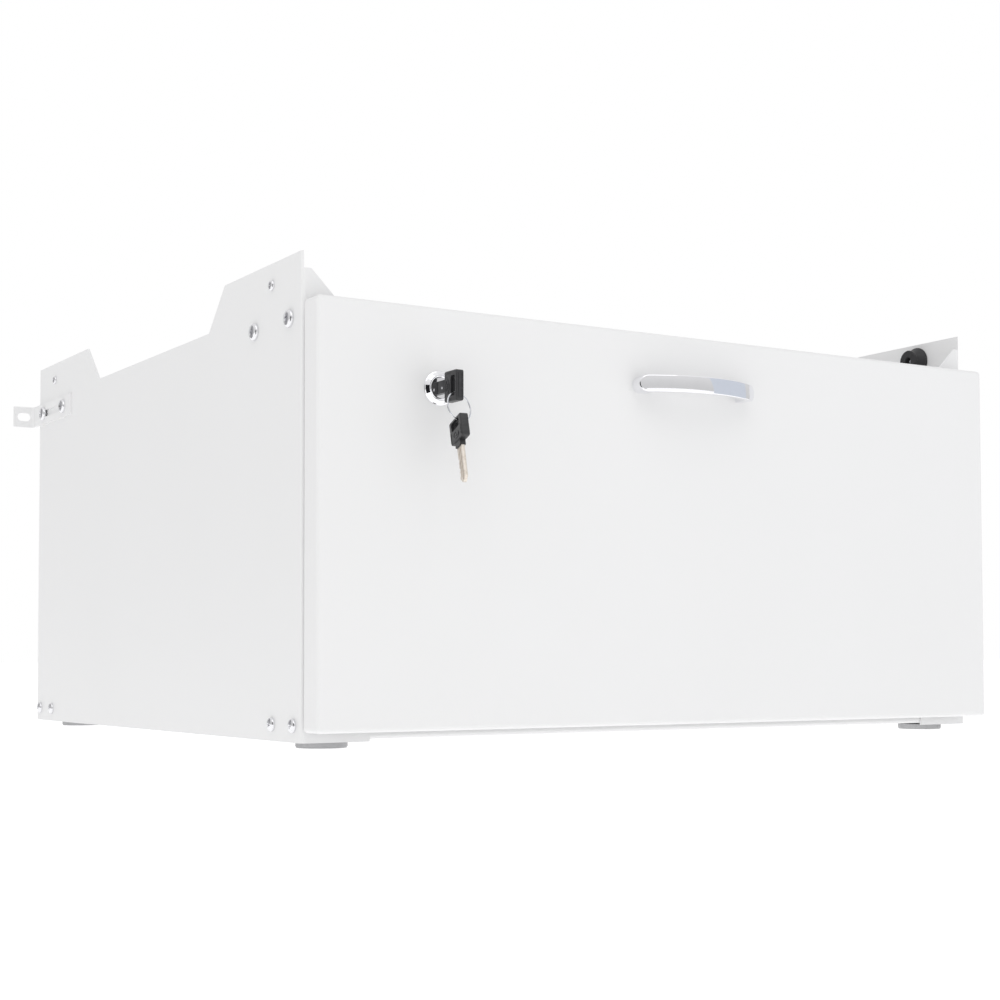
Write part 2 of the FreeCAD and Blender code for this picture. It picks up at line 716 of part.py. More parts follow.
def handle():
    """Bow handle: a flat arched band that comes down onto a post at each end."""
    end = handle_length / 2
    inside = end - handle_post
    rise = handle_reach - handle_shoulder

    def bow(reach, middle, shoulder):
        place = lambda u, off: Vector(u, y_front - off, z_handle - handle_height / 2)
        return place(-reach, shoulder), place(0, middle), place(reach, shoulder)

    outer = bow(end, handle_reach, handle_shoulder)
    radius = (end ** 2 + rise ** 2) / (2 * rise)
    centre = handle_reach - radius
    inner_radius = radius - handle_thickness
    under = centre + math.sqrt(inner_radius ** 2 - inside ** 2)
    arch = bow(inside, handle_reach - handle_thickness, under)
    foot_z = z_handle - handle_height / 2
    base = [Vector(u, y_front, foot_z) for u in (-end, -inside, inside, end)]
    edges = [Part.Arc(*outer).toShape(), Part.makeLine(outer[2], base[3]), Part.makeLine(base[3], base[2]),
             Part.makeLine(base[2], arch[2]), Part.Arc(*arch).toShape(), Part.makeLine(arch[0], base[1]),
             Part.makeLine(base[1], base[0]), Part.makeLine(base[0], outer[0])]
    band = Part.Face(Part.Wire(Part.__sortEdges__(edges))).extrude(Vector(0, 0, handle_height))
    ends = slot((-end, end), z_handle, handle_height / 2, "XZ", y_front - handle_reach - 1, y_front + 1)
    band = band.common(ends)
    y_hole_end = y_front - handle_hole_depth
    return cut(band, [rod(handle_bolt[0], Vector(side * x_handle_bolt, y_front + past, z_handle),
                          Vector(side * x_handle_bolt, y_hole_end, z_handle))
                      for side in SIDES.values()])


def handle_screws():
    depth = front_thickness + handle_screw_reach
    return group([pan_head(handle_bolt, Vector(side * x_handle_bolt, y_front_back, z_handle), Y, depth)
                  for side in SIDES.values()])


# --- Lock -----------------------------------------------------------------------------------

def turned(profile):
    """Solid of revolution about the lock's axis, from (radius, y) points."""
    points = [Vector(x_lock + radius, y, z_lock) for radius, y in profile]
    face = Part.Face(Part.makePolygon(points + points[:1]))
    return face.revolve(Vector(x_lock, 0, z_lock), Y, 360)


def lock_body():
    """Fixed barrel with the bevelled bezel that sits on the drawer front."""
    bore = plug_radius + plug_clearance
    return turned([(bore, y_bezel + bezel_break), (bezel_seat, y_bezel), (bezel_seat + bezel_rim, y_bezel),
                   (bezel_radius - bezel_bevel, y_front - bezel_foot), (bezel_radius, y_front - bezel_break),
                   (bezel_radius, y_front), (barrel_radius, y_front), (barrel_radius, y_barrel_end),
                   (bore, y_barrel_end)])


def lock_ring_nut():
    axis_point = Vector(x_lock, y_front_back, z_lock)
    return nut(lock_nut, lock_nut_height, barrel_radius, axis_point, Y)


def key_way():
    """Slot in the plug, wider than the key's blade by its clearance."""
    gap = blade_clearance
    return block((x_lock - blade_thickness / 2 - gap, x_lock + blade_thickness / 2 + gap),
                 (y_plug - 1, y_plug + blade_length + gap),
                 (z_lock - blade_width / 2 - gap, z_lock + blade_width / 2 + gap))


def lock_plug():
    """Cylinder that the key turns, with the square tail that carries the cam."""
    square = tail_square / 2
    body = rod(plug_radius, Vector(x_lock, y_plug, z_lock), Vector(x_lock, y_cam, z_lock))
    tail = block((x_lock - square, x_lock + square), (y_barrel_end, y_cam + cam_thickness),
                 (z_lock - square, z_lock + square))
    screw = rod(base_bolt[0], Vector(x_lock, y_barrel_end - cam_screw_reach, z_lock),
                Vector(x_lock, y_cam + cam_thickness + past, z_lock))
    return cut(body.fuse(tail), [key_way(), screw])


def lock_cam():
    """Blade behind the drawer front; with the lock open it points towards the middle."""
    y_end = y_cam + cam_thickness
    square = tail_square / 2
    radius, narrow = cam_width / 2, cam_width / 2 * cam_taper
    x_tip = x_lock + cam_length
    plate = prism([(x_lock, z_lock - radius), (x_tip, z_lock - narrow),
                   (x_tip, z_lock + narrow), (x_lock, z_lock + radius)], "XZ", y_cam, y_end)
    hub = rod(radius, Vector(x_lock, y_cam, z_lock), Vector(x_lock, y_end, z_lock))
    eye = block((x_lock - square, x_lock + square), (y_cam - past, y_end + past),
                (z_lock - square, z_lock + square))
    return fuse([plate, hub]).cut(eye)


def cam_screw():
    seat = Vector(x_lock, y_cam + cam_thickness, z_lock)
    return pan_head(base_bolt, seat, Y, cam_thickness + cam_screw_reach - cam_play)


# --- Keys and ring ---------------------------------------------------------------------------

def key_frame():
    """Key pieces are drawn in their own frame: blade along +Y from the head, plane YZ, origin
    at the middle of the blade where the head begins. The first key is placed in the lock."""
    return FreeCAD.Placement(Vector(x_lock, y_neck, z_lock), FreeCAD.Rotation())


def spare_frame():
    """The spare key hangs blade down from the bottom of the ring, by the end of its slot."""
    down = FreeCAD.Rotation(X, -90 - spare_lean)
    place = FreeCAD.Placement(Vector(), FreeCAD.Rotation(Z, -spare_turn).multiply(down))
    held = Vector(0, -head_length + head_slot_strip + wire_room,
                  -head_drop - head_slot_length / 2 + wire_room + 2 * ring_play)
    place.Base = Vector(x_lock, y_ring_bottom, z_ring_bottom) - place.Rotation.multVec(held)
    return place


def slot_block(grown, x):
    """Round-cornered block for the head's ring slot, made larger all round by grown."""
    near = -head_length + head_slot_strip
    half_length = head_slot_length / 2 + grown
    shape = block(x, (near - grown, near + head_slot + grown),
                  (-head_drop - half_length, -head_drop + half_length))
    return shape.makeFillet(slot_corner, edges_along(shape, X))


def key_head(place, neck):
    """Moulded head with a ring slot in a recess on both faces, and a neck towards the blade."""
    side, thick = head_width / 2, head_thickness / 2
    plate = block((-thick, thick), (-head_length, 0), (-head_drop - side, -head_drop + side))
    plate = plate.makeFillet(head_corner, edges_along(plate, X))
    web = thick - recess_depth
    openings = [slot_block(0, (-thick, thick)), slot_block(recess_rim, (-thick - past, -web)),
                slot_block(recess_rim, (web, thick + past))]
    collar = block((-neck_thickness / 2, neck_thickness / 2), (-past, neck),
                   (-neck_width / 2, neck_width / 2))
    seat = block((-blade_thickness / 2, blade_thickness / 2), (-head_length / 4, neck + past),
                 (-blade_width / 2 * blade_root, blade_width / 2 * blade_root))
    shape = cut(fuse([plate, collar]), openings + [seat])
    shape.Placement = place
    return shape


def key_blade(place, neck):
    """Flat blade with a pointed tip and shallow cuts, held in the head by a narrower root."""
    wide, thick = blade_width / 2, blade_thickness / 2
    root, point = wide * blade_root, wide * blade_root
    tip = neck_length + blade_length
    outline = [(-head_length / 4, -root), (neck, -root), (neck, -wide), (tip - point, -wide),
               (tip, -wide + point), (tip, wide - point), (tip - point, wide), (neck, wide),
               (neck, root), (-head_length / 4, root)]
    blade = prism(outline, "YZ", -thick, thick)
    step = blade_length / (len(blade_cuts) + 2)
    for k, depth in enumerate(blade_cuts, start=1):
        y = neck_length + step * k
        notch = [(y - step / 2, wide + past), (y - step / 8, wide - depth),
                 (y + step / 8, wide - depth), (y + step / 2, wide + past)]
        blade = blade.cut(prism(notch, "YZ", -thick - past, thick + past))
    blade.Placement = place
    return blade


def key_ring():
    """Closed ring that leans forward about its top, where the first key holds it."""
    ring = Part.makeTorus(ring_radius, ring_wire, Vector(0, 0, -ring_radius), Y)
    hang = FreeCAD.Rotation(X, -ring_lean).multiply(FreeCAD.Rotation(Z, ring_turn))
    ring.Placement = FreeCAD.Placement(Vector(x_lock, y_ring, z_ring_top), hang)
    return ring


# --- Assembly --------------------------------------------------------------------------------

def pair(name, left):
    return {f"{name}_left": left, f"{name}_right": mirrored(left)}


def cabinet():
    rivets, rivet_holes = back_rivets()
    left_holes = [hole for hole in rivet_holes if hole.CenterOfMass.x < 0]
    nodes = pair("side_panel", cut(side_panel_left(), left_holes))
    nodes["top_deck"] = deck()
    nodes["deck_stiffener_front"] = deck_stiffener(stiffener_inset)
    nodes["deck_stiffener_rear"] = deck_stiffener(y_rear - stiffener_inset)
    nodes["floor_pan"] = floor_pan()
    nodes["back_panel"] = cut(back_panel(), rivet_holes)
    nodes["back_rivets"] = rivets
    nodes.update(pair("slide_support", slide_support_left()))
    nodes.update(pair("slide_outer", slide_outer_left()))
    nodes.update(pair("wall_bracket", wall_bracket_left()))
    for end, y in y_buffers.items():
        nodes.update(pair(f"rubber_buffer_{end}", buffer_left(y)))
    for name, (x, y) in foot_places().items():
        nodes[f"foot_{name}"] = foot(x, y)
    nodes["foot_nuts"] = foot_nuts()
    nodes["deck_bolts"] = deck_bolts()
    nodes["deck_nuts"] = deck_nuts()
    nodes["base_bolts"] = base_bolts()
    nodes["base_nuts"] = base_nuts()
    nodes["buffer_screws"] = buffer_screws()
    nodes["front_bumpers"] = front_bumpers()
    return nodes


def drawer():
    nodes = {"drawer_front_skin": front_skin(), "drawer_front_backing": front_backing(),
             "drawer_floor": drawer_floor(), "drawer_back": drawer_back()}
    nodes.update(pair("drawer_side", drawer_side_left()))
    nodes.update(pair("front_angle", front_angle_left()))
    nodes["front_screws"] = front_screws()
    nodes.update(pair("slide_inner", slide_inner_left()))
    nodes["bow_handle"] = handle()
    nodes["handle_screws"] = handle_screws()
    nodes["lock_body"] = lock_body()
    nodes["lock_nut"] = lock_ring_nut()
    return nodes


def moving_small_parts():
    nodes = pair("slide_middle", slide_middle_left())
    nodes.update(pair("ball_cage_outer", ball_cage_left(lip)))
    nodes.update(pair("ball_cage_inner", ball_cage_left(lip_middle)))
    nodes["lock_plug"] = lock_plug()
    nodes["lock_cam"] = lock_cam()
    nodes["cam_screw"] = cam_screw()
    nodes["key_head"] = key_head(key_frame(), neck_length)
    nodes["key_blade"] = key_blade(key_frame(), neck_length)
    nodes["key_ring"] = key_ring()
    nodes["spare_key_head"] = key_head(spare_frame(), spare_neck)
    nodes["spare_key_blade"] = key_blade(spare_frame(), spare_neck)
    return nodes


def save(nodes):
    """Moves every piece so that the footprint's middle is the origin, and writes it."""
    front = min(shape.BoundBox.YMin for shape in nodes.values())
    y_origin = (front + y_ear) / 2
    os.makedirs("parts", exist_ok=True)
    for name, shape in nodes.items():
        shape = shape.copy()
        shape.translate(Vector(0, -y_origin, 0))
        shape.exportStep(f"parts/{name}.step")
        print(f"{name:26s} solids {len(shape.Solids)} valid {shape.isValid()} volume {shape.Volume:.0f}")
    print("y_origin", round(y_origin, 3))


save({**cabinet(), **drawer(), **moving_small_parts()})
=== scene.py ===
import json
import math

import bmesh
import bpy
from bpy.props import FloatProperty, FloatVectorProperty, IntProperty, PointerProperty
from bpy.types import Operator, Panel, PropertyGroup
from mathutils import Euler, Matrix, Vector


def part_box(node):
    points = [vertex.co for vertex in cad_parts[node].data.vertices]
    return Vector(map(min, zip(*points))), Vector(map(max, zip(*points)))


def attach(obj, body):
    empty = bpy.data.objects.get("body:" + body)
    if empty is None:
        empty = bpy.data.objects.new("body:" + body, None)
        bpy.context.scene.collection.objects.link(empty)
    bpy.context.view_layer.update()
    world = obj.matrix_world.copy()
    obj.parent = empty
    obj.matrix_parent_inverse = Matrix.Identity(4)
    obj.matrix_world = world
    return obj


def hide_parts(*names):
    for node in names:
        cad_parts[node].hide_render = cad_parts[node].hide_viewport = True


bl_info = {
    "name": "Parcel Drawer Cabinet",
    "version": (1, 0, 0),
    "blender": (4, 5, 0),
    "location": "3D View > Sidebar > Cabinet",
    "description": "Finishes a lockable parcel drawer cabinet around its fixed metal frame",
    "category": "Object",
}

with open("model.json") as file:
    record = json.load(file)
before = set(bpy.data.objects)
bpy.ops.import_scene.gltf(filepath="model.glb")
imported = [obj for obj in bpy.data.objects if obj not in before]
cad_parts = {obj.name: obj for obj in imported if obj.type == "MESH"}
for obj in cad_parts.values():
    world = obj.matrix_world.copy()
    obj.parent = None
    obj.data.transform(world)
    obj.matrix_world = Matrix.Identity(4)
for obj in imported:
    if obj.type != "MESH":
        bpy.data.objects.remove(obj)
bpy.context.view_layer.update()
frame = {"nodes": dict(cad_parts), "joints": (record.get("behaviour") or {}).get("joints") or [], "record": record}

MM = 0.001
X, Y, Z = Vector((1, 0, 0)), Vector((0, 1, 0)), Vector((0, 0, 1))
WELD = 0.00002              # vertices closer than this are one
SHARP = math.radians(32)    # edges that turn more than this stay sharp
CRISP = math.radians(14)    # the same, on polished turned parts
SLOT_OF = {part["node"]: part["material_slot"] for part in frame["record"]["subparts"]}
BODY_OF = {node: body for body, members in frame["record"]["behaviour"]["bodies"].items()
           for node in members}
PIVOTS = {joint["name"]: Vector(joint["pos_m"]) for joint in frame["joints"] if "pos_m" in joint}


# --- Places read from the frame -----------------------------------------------------------

def centre(node):
    """Middle of a CAD node's box."""
    low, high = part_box(node)
    return (low + high) / 2


def solids(node):
    """Box of each separate solid in a CAD node, in order of place."""
    shape = bmesh.new()
    shape.from_mesh(frame["nodes"][node].data)
    bmesh.ops.remove_doubles(shape, verts=shape.verts, dist=WELD)
    seen, boxes = set(), []
    for start in shape.verts:
        if start in seen:
            continue
        seen.add(start)
        reached, corners = [start], []
        while reached:
            vert = reached.pop()
            corners.append(vert.co.copy())
            for edge in vert.link_edges:
                other = edge.other_vert(vert)
                if other not in seen:
                    seen.add(other)
                    reached.append(other)
        low = Vector(min(c[k] for c in corners) for k in range(3))
        high = Vector(max(c[k] for c in corners) for k in range(3))
        boxes.append((low, high))
    shape.free()
    return sorted(boxes, key=lambda box: [round(value, 4) for value in (*box[0], *box[1])])


FRONT_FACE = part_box("drawer_front_skin")[0].y
LOCK_AXIS = centre("lock_plug")


# --- Node trees ----------------------------------------------------------------------------

class Socket:
    """A node's output. Arithmetic on it adds Math nodes to its tree."""

    def __init__(self, tree, out):
        self.tree = tree
        self.out = out

    def math(self, operation, *values):
        return self.tree.node("ShaderNodeMath", {"operation": operation}, dict(enumerate(values)))

    def __add__(self, other):
        return self.math("ADD", self, other)

    __radd__ = __add__

    def __sub__(self, other):
        return self.math("SUBTRACT", self, other)

    def __rsub__(self, other):
        return self.math("SUBTRACT", other, self)

    def __mul__(self, other):
        return self.math("MULTIPLY", self, other)

    __rmul__ = __mul__

    def __truediv__(self, other):
        return self.math("DIVIDE", self, other)

    def __rtruediv__(self, other):
        return self.math("DIVIDE", other, self)

    def __pow__(self, other):
        return self.math("POWER", self, other)

    def __gt__(self, other):
        return self.math("GREATER_THAN", self, other)

    def __lt__(self, other):
        return self.math("LESS_THAN", self, other)

    def __abs__(self):
        return self.math("ABSOLUTE", self)

    def sine(self):
        return self.math("SINE", self)

    def cosine(self):
        return self.math("COSINE", self)

    def least(self, other):
        return self.math("MAXIMUM", self, other)

    def ramp(self, low, high):
        """0 at low, 1 at high, smooth between."""
        return self.tree.node("ShaderNodeMapRange", {"interpolation_type": "SMOOTHSTEP"},
                              {"Value": self, "From Min": low, "From Max": high})


class Tree:
    """A node tree, and the one way in which nodes are added to it."""

    def __init__(self, tree):
        self.tree = tree

    def node(self, kind, settings=None, inputs=None, output=0):
        made = self.tree.nodes.new(kind)
        for name, value in (settings or {}).items():
            setattr(made, name, value)
        for name, value in (inputs or {}).items():
            socket = made.inputs[name]
            for single in value if isinstance(value, list) else [value]:
                if isinstance(single, Socket):
                    self.tree.links.new(single.out, socket)
                else:
                    socket.default_value = single
        return Socket(self, made.outputs[output])

    def parts(self, vector):
        """The X, Y and Z of a vector."""
        split = self.node("ShaderNodeSeparateXYZ", None, {0: vector}).out.node
        return [Socket(self, out) for out in split.outputs]

    def join(self, x, y, z):
        return self.node("ShaderNodeCombineXYZ", None, {"X": x, "Y": y, "Z": z})

    def vector(self, operation, *values):
        return self.node("ShaderNodeVectorMath", {"operation": operation}, dict(enumerate(values)))


class Grower(Tree):
    """A Geometry Nodes tree that is run on a few points and leaves a plain mesh."""

    def __init__(self, name):
        super().__init__(bpy.data.node_groups.new(name, "GeometryNodeTree"))
        self.tree.interface.new_socket("Geometry", in_out="INPUT", socket_type="NodeSocketGeometry")
        self.tree.interface.new_socket("Geometry", in_out="OUTPUT", socket_type="NodeSocketGeometry")
        self.start = self.tree.nodes.new("NodeGroupInput")
        self.points = Socket(self, self.start.outputs["Geometry"])

    def size(self, name, kind="NodeSocketFloat"):
        """A named input of the tree."""
        self.tree.interface.new_socket(name, in_out="INPUT", socket_type=kind)
        return Socket(self, self.start.outputs[name])

    def place(self, geometry, at=None, turn=None):
        """Geometry moved, and turned by Euler angles."""
        return self.node("GeometryNodeTransform", None,
                         {"Geometry": geometry, "Translation": at or (0, 0, 0),
                          "Rotation": turn or (0, 0, 0)})

    def reshape(self, geometry, position):
        return self.node("GeometryNodeSetPosition", None, {"Geometry": geometry, "Position": position})

    def boolean(self, operation, body, tools):
        inputs = {"Mesh 1": body, "Mesh 2": tools}
        if operation == "INTERSECT":
            inputs = {"Mesh 2": [body, *tools]}
        return self.node("GeometryNodeMeshBoolean", {"operation": operation, "solver": "EXACT"}, inputs)

    def end(self, piece, material, seed=None):
        """Puts the piece on every point, its Z along the point's axis, turned at random if seeded."""
        axis = self.node("GeometryNodeInputNamedAttribute", {"data_type": "FLOAT_VECTOR"}, {"Name": "axis"})
        rotation = self.node("FunctionNodeAlignRotationToVector", {"axis": "Z"}, {"Vector": axis})
        if seed is not None:
            chance = self.node("FunctionNodeRandomValue", {"data_type": "FLOAT"}, {"Seed": seed}, output=1)
            spin = self.node("FunctionNodeAxisAngleToRotation", None,
                             {"Axis": (0, 0, 1), "Angle": chance * math.tau})
            rotation = self.node("FunctionNodeRotateRotation", {"rotation_space": "LOCAL"},
                                 {"Rotation": rotation, "Rotate By": spin})
        put = self.node("GeometryNodeInstanceOnPoints", None,
                        {"Points": self.points, "Instance": piece, "Rotation": rotation})
        real = self.node("GeometryNodeRealizeInstances", None, {"Geometry": put})
        done = self.node("GeometryNodeSetMaterial", None, {"Geometry": real, "Material": material})
        out = self.tree.nodes.new("NodeGroupOutput")
        self.tree.links.new(done.out, out.inputs["Geometry"])

    def grow(self, name, places, sizes):
        """Runs the tree on (point, axis) places and returns an object with the plain mesh."""
        seeds = bpy.data.meshes.new(name)
        seeds.from_pydata([point for point, axis in places], [], [])
        axes = seeds.attributes.new("axis", "FLOAT_VECTOR", "POINT")
        axes.data.foreach_set("vector", [value for point, axis in places for value in axis])
        piece = bpy.data.objects.new(name, seeds)
        bpy.context.scene.collection.objects.link(piece)
        modifier = piece.modifiers.new("Grow", "NODES")
        modifier.node_group = self.tree
        for socket in self.tree.interface.items_tree:
            if socket.name in sizes:
                modifier[socket.identifier] = sizes[socket.name]
        flatten(piece)
        return piece


# --- Mesh helpers ----------------------------------------------------------------------------

def flatten(piece):
    """Replaces a piece by the plain mesh that its modifiers make."""
    graph = bpy.context.evaluated_depsgraph_get()
    mesh = bpy.data.meshes.new_from_object(piece.evaluated_get(graph))
    piece.modifiers.clear()
    piece.data = mesh
    if not mesh.polygons:
        raise RuntimeError(f"{piece.name} came out empty")


def tidied(piece, sharp=SHARP):
    """Welds a piece's seams, turns its faces outwards and smooths all but its sharp edges."""
    shape = bmesh.new()
    shape.from_mesh(piece.data)
    bmesh.ops.remove_doubles(shape, verts=shape.verts, dist=WELD / 4)
    bmesh.ops.dissolve_degenerate(shape, dist=WELD / 8, edges=shape.edges)
    bmesh.ops.recalc_face_normals(shape, faces=shape.faces)
    shape.to_mesh(piece.data)
    shape.free()
    piece.data.shade_smooth()
    piece.data.set_sharp_from_angle(angle=sharp)
    return piece


def made(name, shape):
    """Object from a bmesh."""
    mesh = bpy.data.meshes.new(name)
    shape.to_mesh(mesh)
    shape.free()
    piece = bpy.data.objects.new(name, mesh)
    bpy.context.scene.collection.objects.link(piece)
    return piece


def placed(piece, matrix):
    piece.data.transform(matrix)
    return piece


def along(point, axis):
    """Matrix that takes Z to an axis and the origin to a point."""
    return Matrix.Translation(point) @ axis.to_track_quat("Z", "Y").to_matrix().to_4x4()


def arc(middle, radius, start, end, steps=6):
    """Points of an arc, from one angle to another in degrees."""
    angles = [math.radians(start + (end - start) * k / steps) for k in range(steps + 1)]
    return [(middle[0] + radius * math.cos(a), middle[1] + radius * math.sin(a)) for a in angles]


def turned(name, profile, matrix, segments=96, sharp=SHARP):
    """Solid turned round Z from a closed run of (radius, height) points."""
    shape = bmesh.new()
    rings = []
    for radius, height in profile:
        count = segments if radius > 0 else 1
        angles = [math.tau * k / count for k in range(count)]
        rings.append([shape.verts.new((radius * math.cos(a), radius * math.sin(a), height))
                      for a in angles])
    hollow = profile[0][0] > 0
    for near, far in zip(rings, rings[1:] + (rings[:1] if hollow else [])):
        for k in range(segments):
            around = [near[k % len(near)], near[(k + 1) % len(near)],
                      far[(k + 1) % len(far)], far[k % len(far)]]
            corners = list(dict.fromkeys(around))
            if len(corners) > 2:
                shape.faces.new(corners)
    return tidied(placed(made(name, shape), matrix), sharp)


def threaded(radius, start, end, pitch, depth):
    """Saw-tooth run of (radius, height) points that stands for a screw thread."""
    turns = max(1, round(abs(end - start) / pitch))
    step = (end - start) / turns
    points = []
    for k in range(turns):
        points += [(radius - depth, start + step * k), (radius, start + step * (k + 0.5))]
    return points + [(radius - depth, end)]


def rounded(corners, radius, steps=5):
    """Outline whose corners are rounded; radius is one value or one for each corner."""
    radii = radius if isinstance(radius, list) else [radius] * len(corners)
    outline = []
    for k, corner in enumerate(corners):
        point = Vector(corner)
        before = (Vector(corners[k - 1]) - point).normalized()
        after = (Vector(corners[(k + 1) % len(corners)]) - point).normalized()
        half_angle = before.angle(after) / 2
        if radii[k] <= 0:
            outline.append(tuple(point))
            continue
        reach = radii[k] / math.tan(half_angle)
        hub = point + (before + after).normalized() * (radii[k] / math.sin(half_angle))
        first, last = point + before * reach - hub, point + after * reach - hub
        sweep = first.angle_signed(last)
        outline += [tuple(hub + Matrix.Rotation(-sweep * s / steps, 2) @ first) for s in range(steps + 1)]
    return outline


def box_outline(low, high):
    return [(low[0], low[1]), (high[0], low[1]), (high[0], high[1]), (low[0], high[1])]


def plate(name, outlines, thickness, edge, matrix=Matrix(), steps=3):
    """Flat plate about the plane XY: the first outline is its outside, the others are holes."""
    curve = bpy.data.curves.new(name, "CURVE")
    curve.dimensions = "2D"
    curve.fill_mode = "BOTH"
    for outline in outlines:
        spline = curve.splines.new("POLY")
        spline.points.add(len(outline) - 1)
        for point, (u, v) in zip(spline.points, outline):
            point.co = (u, v, 0, 1)
        spline.use_cyclic_u = True
    curve.extrude = thickness / 2 - edge
    curve.bevel_depth = edge
    curve.bevel_resolution = steps
    curve.offset = -edge
    holder = bpy.data.objects.new(name, curve)
    mesh = bpy.data.meshes.new_from_object(holder)
    bpy.data.objects.remove(holder)
    piece = bpy.data.objects.new(name, mesh)
    bpy.context.scene.collection.objects.link(piece)
    return tidied(placed(piece, matrix))


def combined(piece, others, operation):
    """Adds other pieces to a piece, or cuts them out of it, and removes them."""
    for other in others:
        modifier = piece.modifiers.new("Combine", "BOOLEAN")
        modifier.operation = operation
        modifier.solver = "EXACT"
        modifier.object = other
    bpy.context.view_layer.update()
    flatten(piece)
    for other in others:
        bpy.data.objects.remove(other)
    return tidied(piece)


def finished(piece, body, slot, *replaced):
    """Gives a piece its finish, puts it on its body and hides the CAD nodes that it stands for."""
    piece.data.materials.clear()
    piece.data.materials.append(FINISHES[slot])
    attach(piece, body)
    if replaced:
        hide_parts(*replaced)
    return piece


# --- Finishes --------------------------------------------------------------------------------

FINISHES = {}


class Finish(Tree):
    """A material whose maths is written as expressions on the place in the piece."""

    def __init__(self, slot, colour, metallic=0.0, **fixed):
        self.material = bpy.data.materials.new(slot)
        self.material.use_nodes = True
        super().__init__(self.material.node_tree)
        self.shader = self.tree.nodes["Principled BSDF"]
        self.colour = (*colour, 1)
        self.set("Base Color", self.colour)
        self.set("Metallic", metallic)
        for name, value in fixed.items():
            self.set(name.replace("_", " "), value)
        self.place = self.node("ShaderNodeTexCoord", output="Object")
        FINISHES[slot] = self.material

    def set(self, name, value):
        socket = self.shader.inputs[name]
        if isinstance(value, Socket):
            self.tree.links.new(value.out, socket)
        else:
            socket.default_value = value

    def noise(self, scale, detail=2.0, stretch=None):
        """Noise from 0 to 1; scale is in cycles to the metre, along each axis if stretched."""
        place = self.place if stretch is None else self.vector("MULTIPLY", self.place, stretch)
        return self.node("ShaderNodeTexNoise", None, {"Vector": place, "Scale": scale, "Detail": detail})

    def shade(self, factor, other):
        """Colour between the finish's own and another."""
        return self.node("ShaderNodeMix", {"data_type": "RGBA"},
                         {0: factor, 6: self.colour, 7: (*other, 1)}, output=2)

    def bump(self, height, depth, strength=1.0):
        self.set("Normal", self.node("ShaderNodeBump", None,
                                     {"Height": height, "Distance": depth, "Strength": strength}))


def powder_finish(colours):
    """Satin powder coat: fine orange peel, a few specks, and a very faint cloudiness."""
    finish = Finish("powder_white", colours.powder, IOR=1.5, Coat_Weight=0.0)
    peel = finish.noise(620, 3)
    fine = finish.noise(2600, 1)
    cloud = finish.noise(5, 2)
    speck = finish.noise(1500, 0).ramp(0.80, 0.86)
    finish.set("Base Color", finish.shade((cloud * 0.5 + speck * 0.6), colours.powder_shade))
    finish.set("Roughness", 0.36 + peel * 0.12 + cloud * 0.06)
    finish.bump(peel * 0.8 + fine * 0.2, 0.00006, 0.7)


def zinc_finish(colours):
    """Zinc-plated steel: faint drawing lines along the sheet and patchy brightness."""
    finish = Finish("zinc_steel", colours.zinc, metallic=1.0)
    drawn = finish.noise(60, 3, (60, 1, 60))
    patch = finish.noise(90, 3)
    finish.set("Base Color", finish.shade(patch.ramp(0.35, 0.7) * 0.6, colours.zinc_shade))
    finish.set("Roughness", 0.24 + patch * 0.16 + drawn * 0.08)
    finish.bump(drawn * 0.7 + patch * 0.3, 0.00003, 0.6)


def screw_finish(colours):
    """Bright plating on screws: clear reflections with small handling marks."""
    finish = Finish("bright_screw", colours.screw, metallic=1.0)
    mark = finish.noise(1400, 3)
    finish.set("Base Color", finish.shade(mark.ramp(0.55, 0.8) * 0.5, colours.zinc_shade))
    finish.set("Roughness", 0.10 + mark * 0.14)
    finish.bump(mark, 0.00002, 0.4)


def chrome_finish(colours):
    """Polished chrome, with a trace of polishing haze."""
    finish = Finish("bright_chrome", colours.chrome, metallic=1.0)
    haze = finish.noise(120, 3)
    finish.set("Base Color", finish.shade(haze.ramp(0.4, 0.8) * 0.2, colours.screw))
    finish.set("Roughness", 0.03 + haze * 0.05)
    finish.bump(finish.noise(900, 2), 0.000004, 0.3)


def nickel_finish(colours):
    """Milled nickel silver: cutter lines along the blade and a warm grey tone."""
    finish = Finish("nickel_silver", colours.nickel, metallic=1.0)
    milled = finish.noise(1, 3, (9000, 9000, 300))
    tone = finish.noise(400, 2)
    finish.set("Base Color", finish.shade(tone.ramp(0.4, 0.75) * 0.7, colours.nickel_shade))
    finish.set("Roughness", 0.26 + milled * 0.16)
    finish.bump(milled, 0.00002, 0.5)


def rubber_finish(colours):
    """Matt rubber with a fine moulded grain and a bloom of paler dust."""
    finish = Finish("black_rubber", colours.rubber, IOR=1.48)
    grain = finish.noise(2400, 2)
    bloom = finish.noise(160, 3)
    finish.set("Base Color", finish.shade(bloom.ramp(0.45, 0.85) * 0.5, colours.rubber_shade))
    finish.set("Roughness", 0.46 + grain * 0.16)
    finish.bump(grain, 0.00005, 0.6)


def plastic_finish(slot, colour, shade, roughness):
    """Moulded plastic with a fine spark texture."""
    finish = Finish(slot, colour, IOR=1.5)
    spark = finish.noise(3200, 2)
    flow = finish.noise(140, 2, (1, 1, 4))
    finish.set("Base Color", finish.shade(flow.ramp(0.4, 0.8) * 0.5, shade))
    finish.set("Roughness", roughness + spark * 0.12)
    finish.bump(spark, 0.00004, 0.5)


def bumper_finish(colours):
    """Soft clear buffer: cloudy silicone, a little dust."""
    finish = Finish("clear_bumper", colours.bumper, IOR=1.42, Transmission_Weight=0.55)
    cloud = finish.noise(500, 2)
    finish.set("Base Color", finish.shade(cloud * 0.4, colours.powder_shade))
    finish.set("Roughness", 0.22 + cloud * 0.15)
    finish.bump(cloud, 0.00003, 0.4)


# --- Settings --------------------------------------------------------------------------------

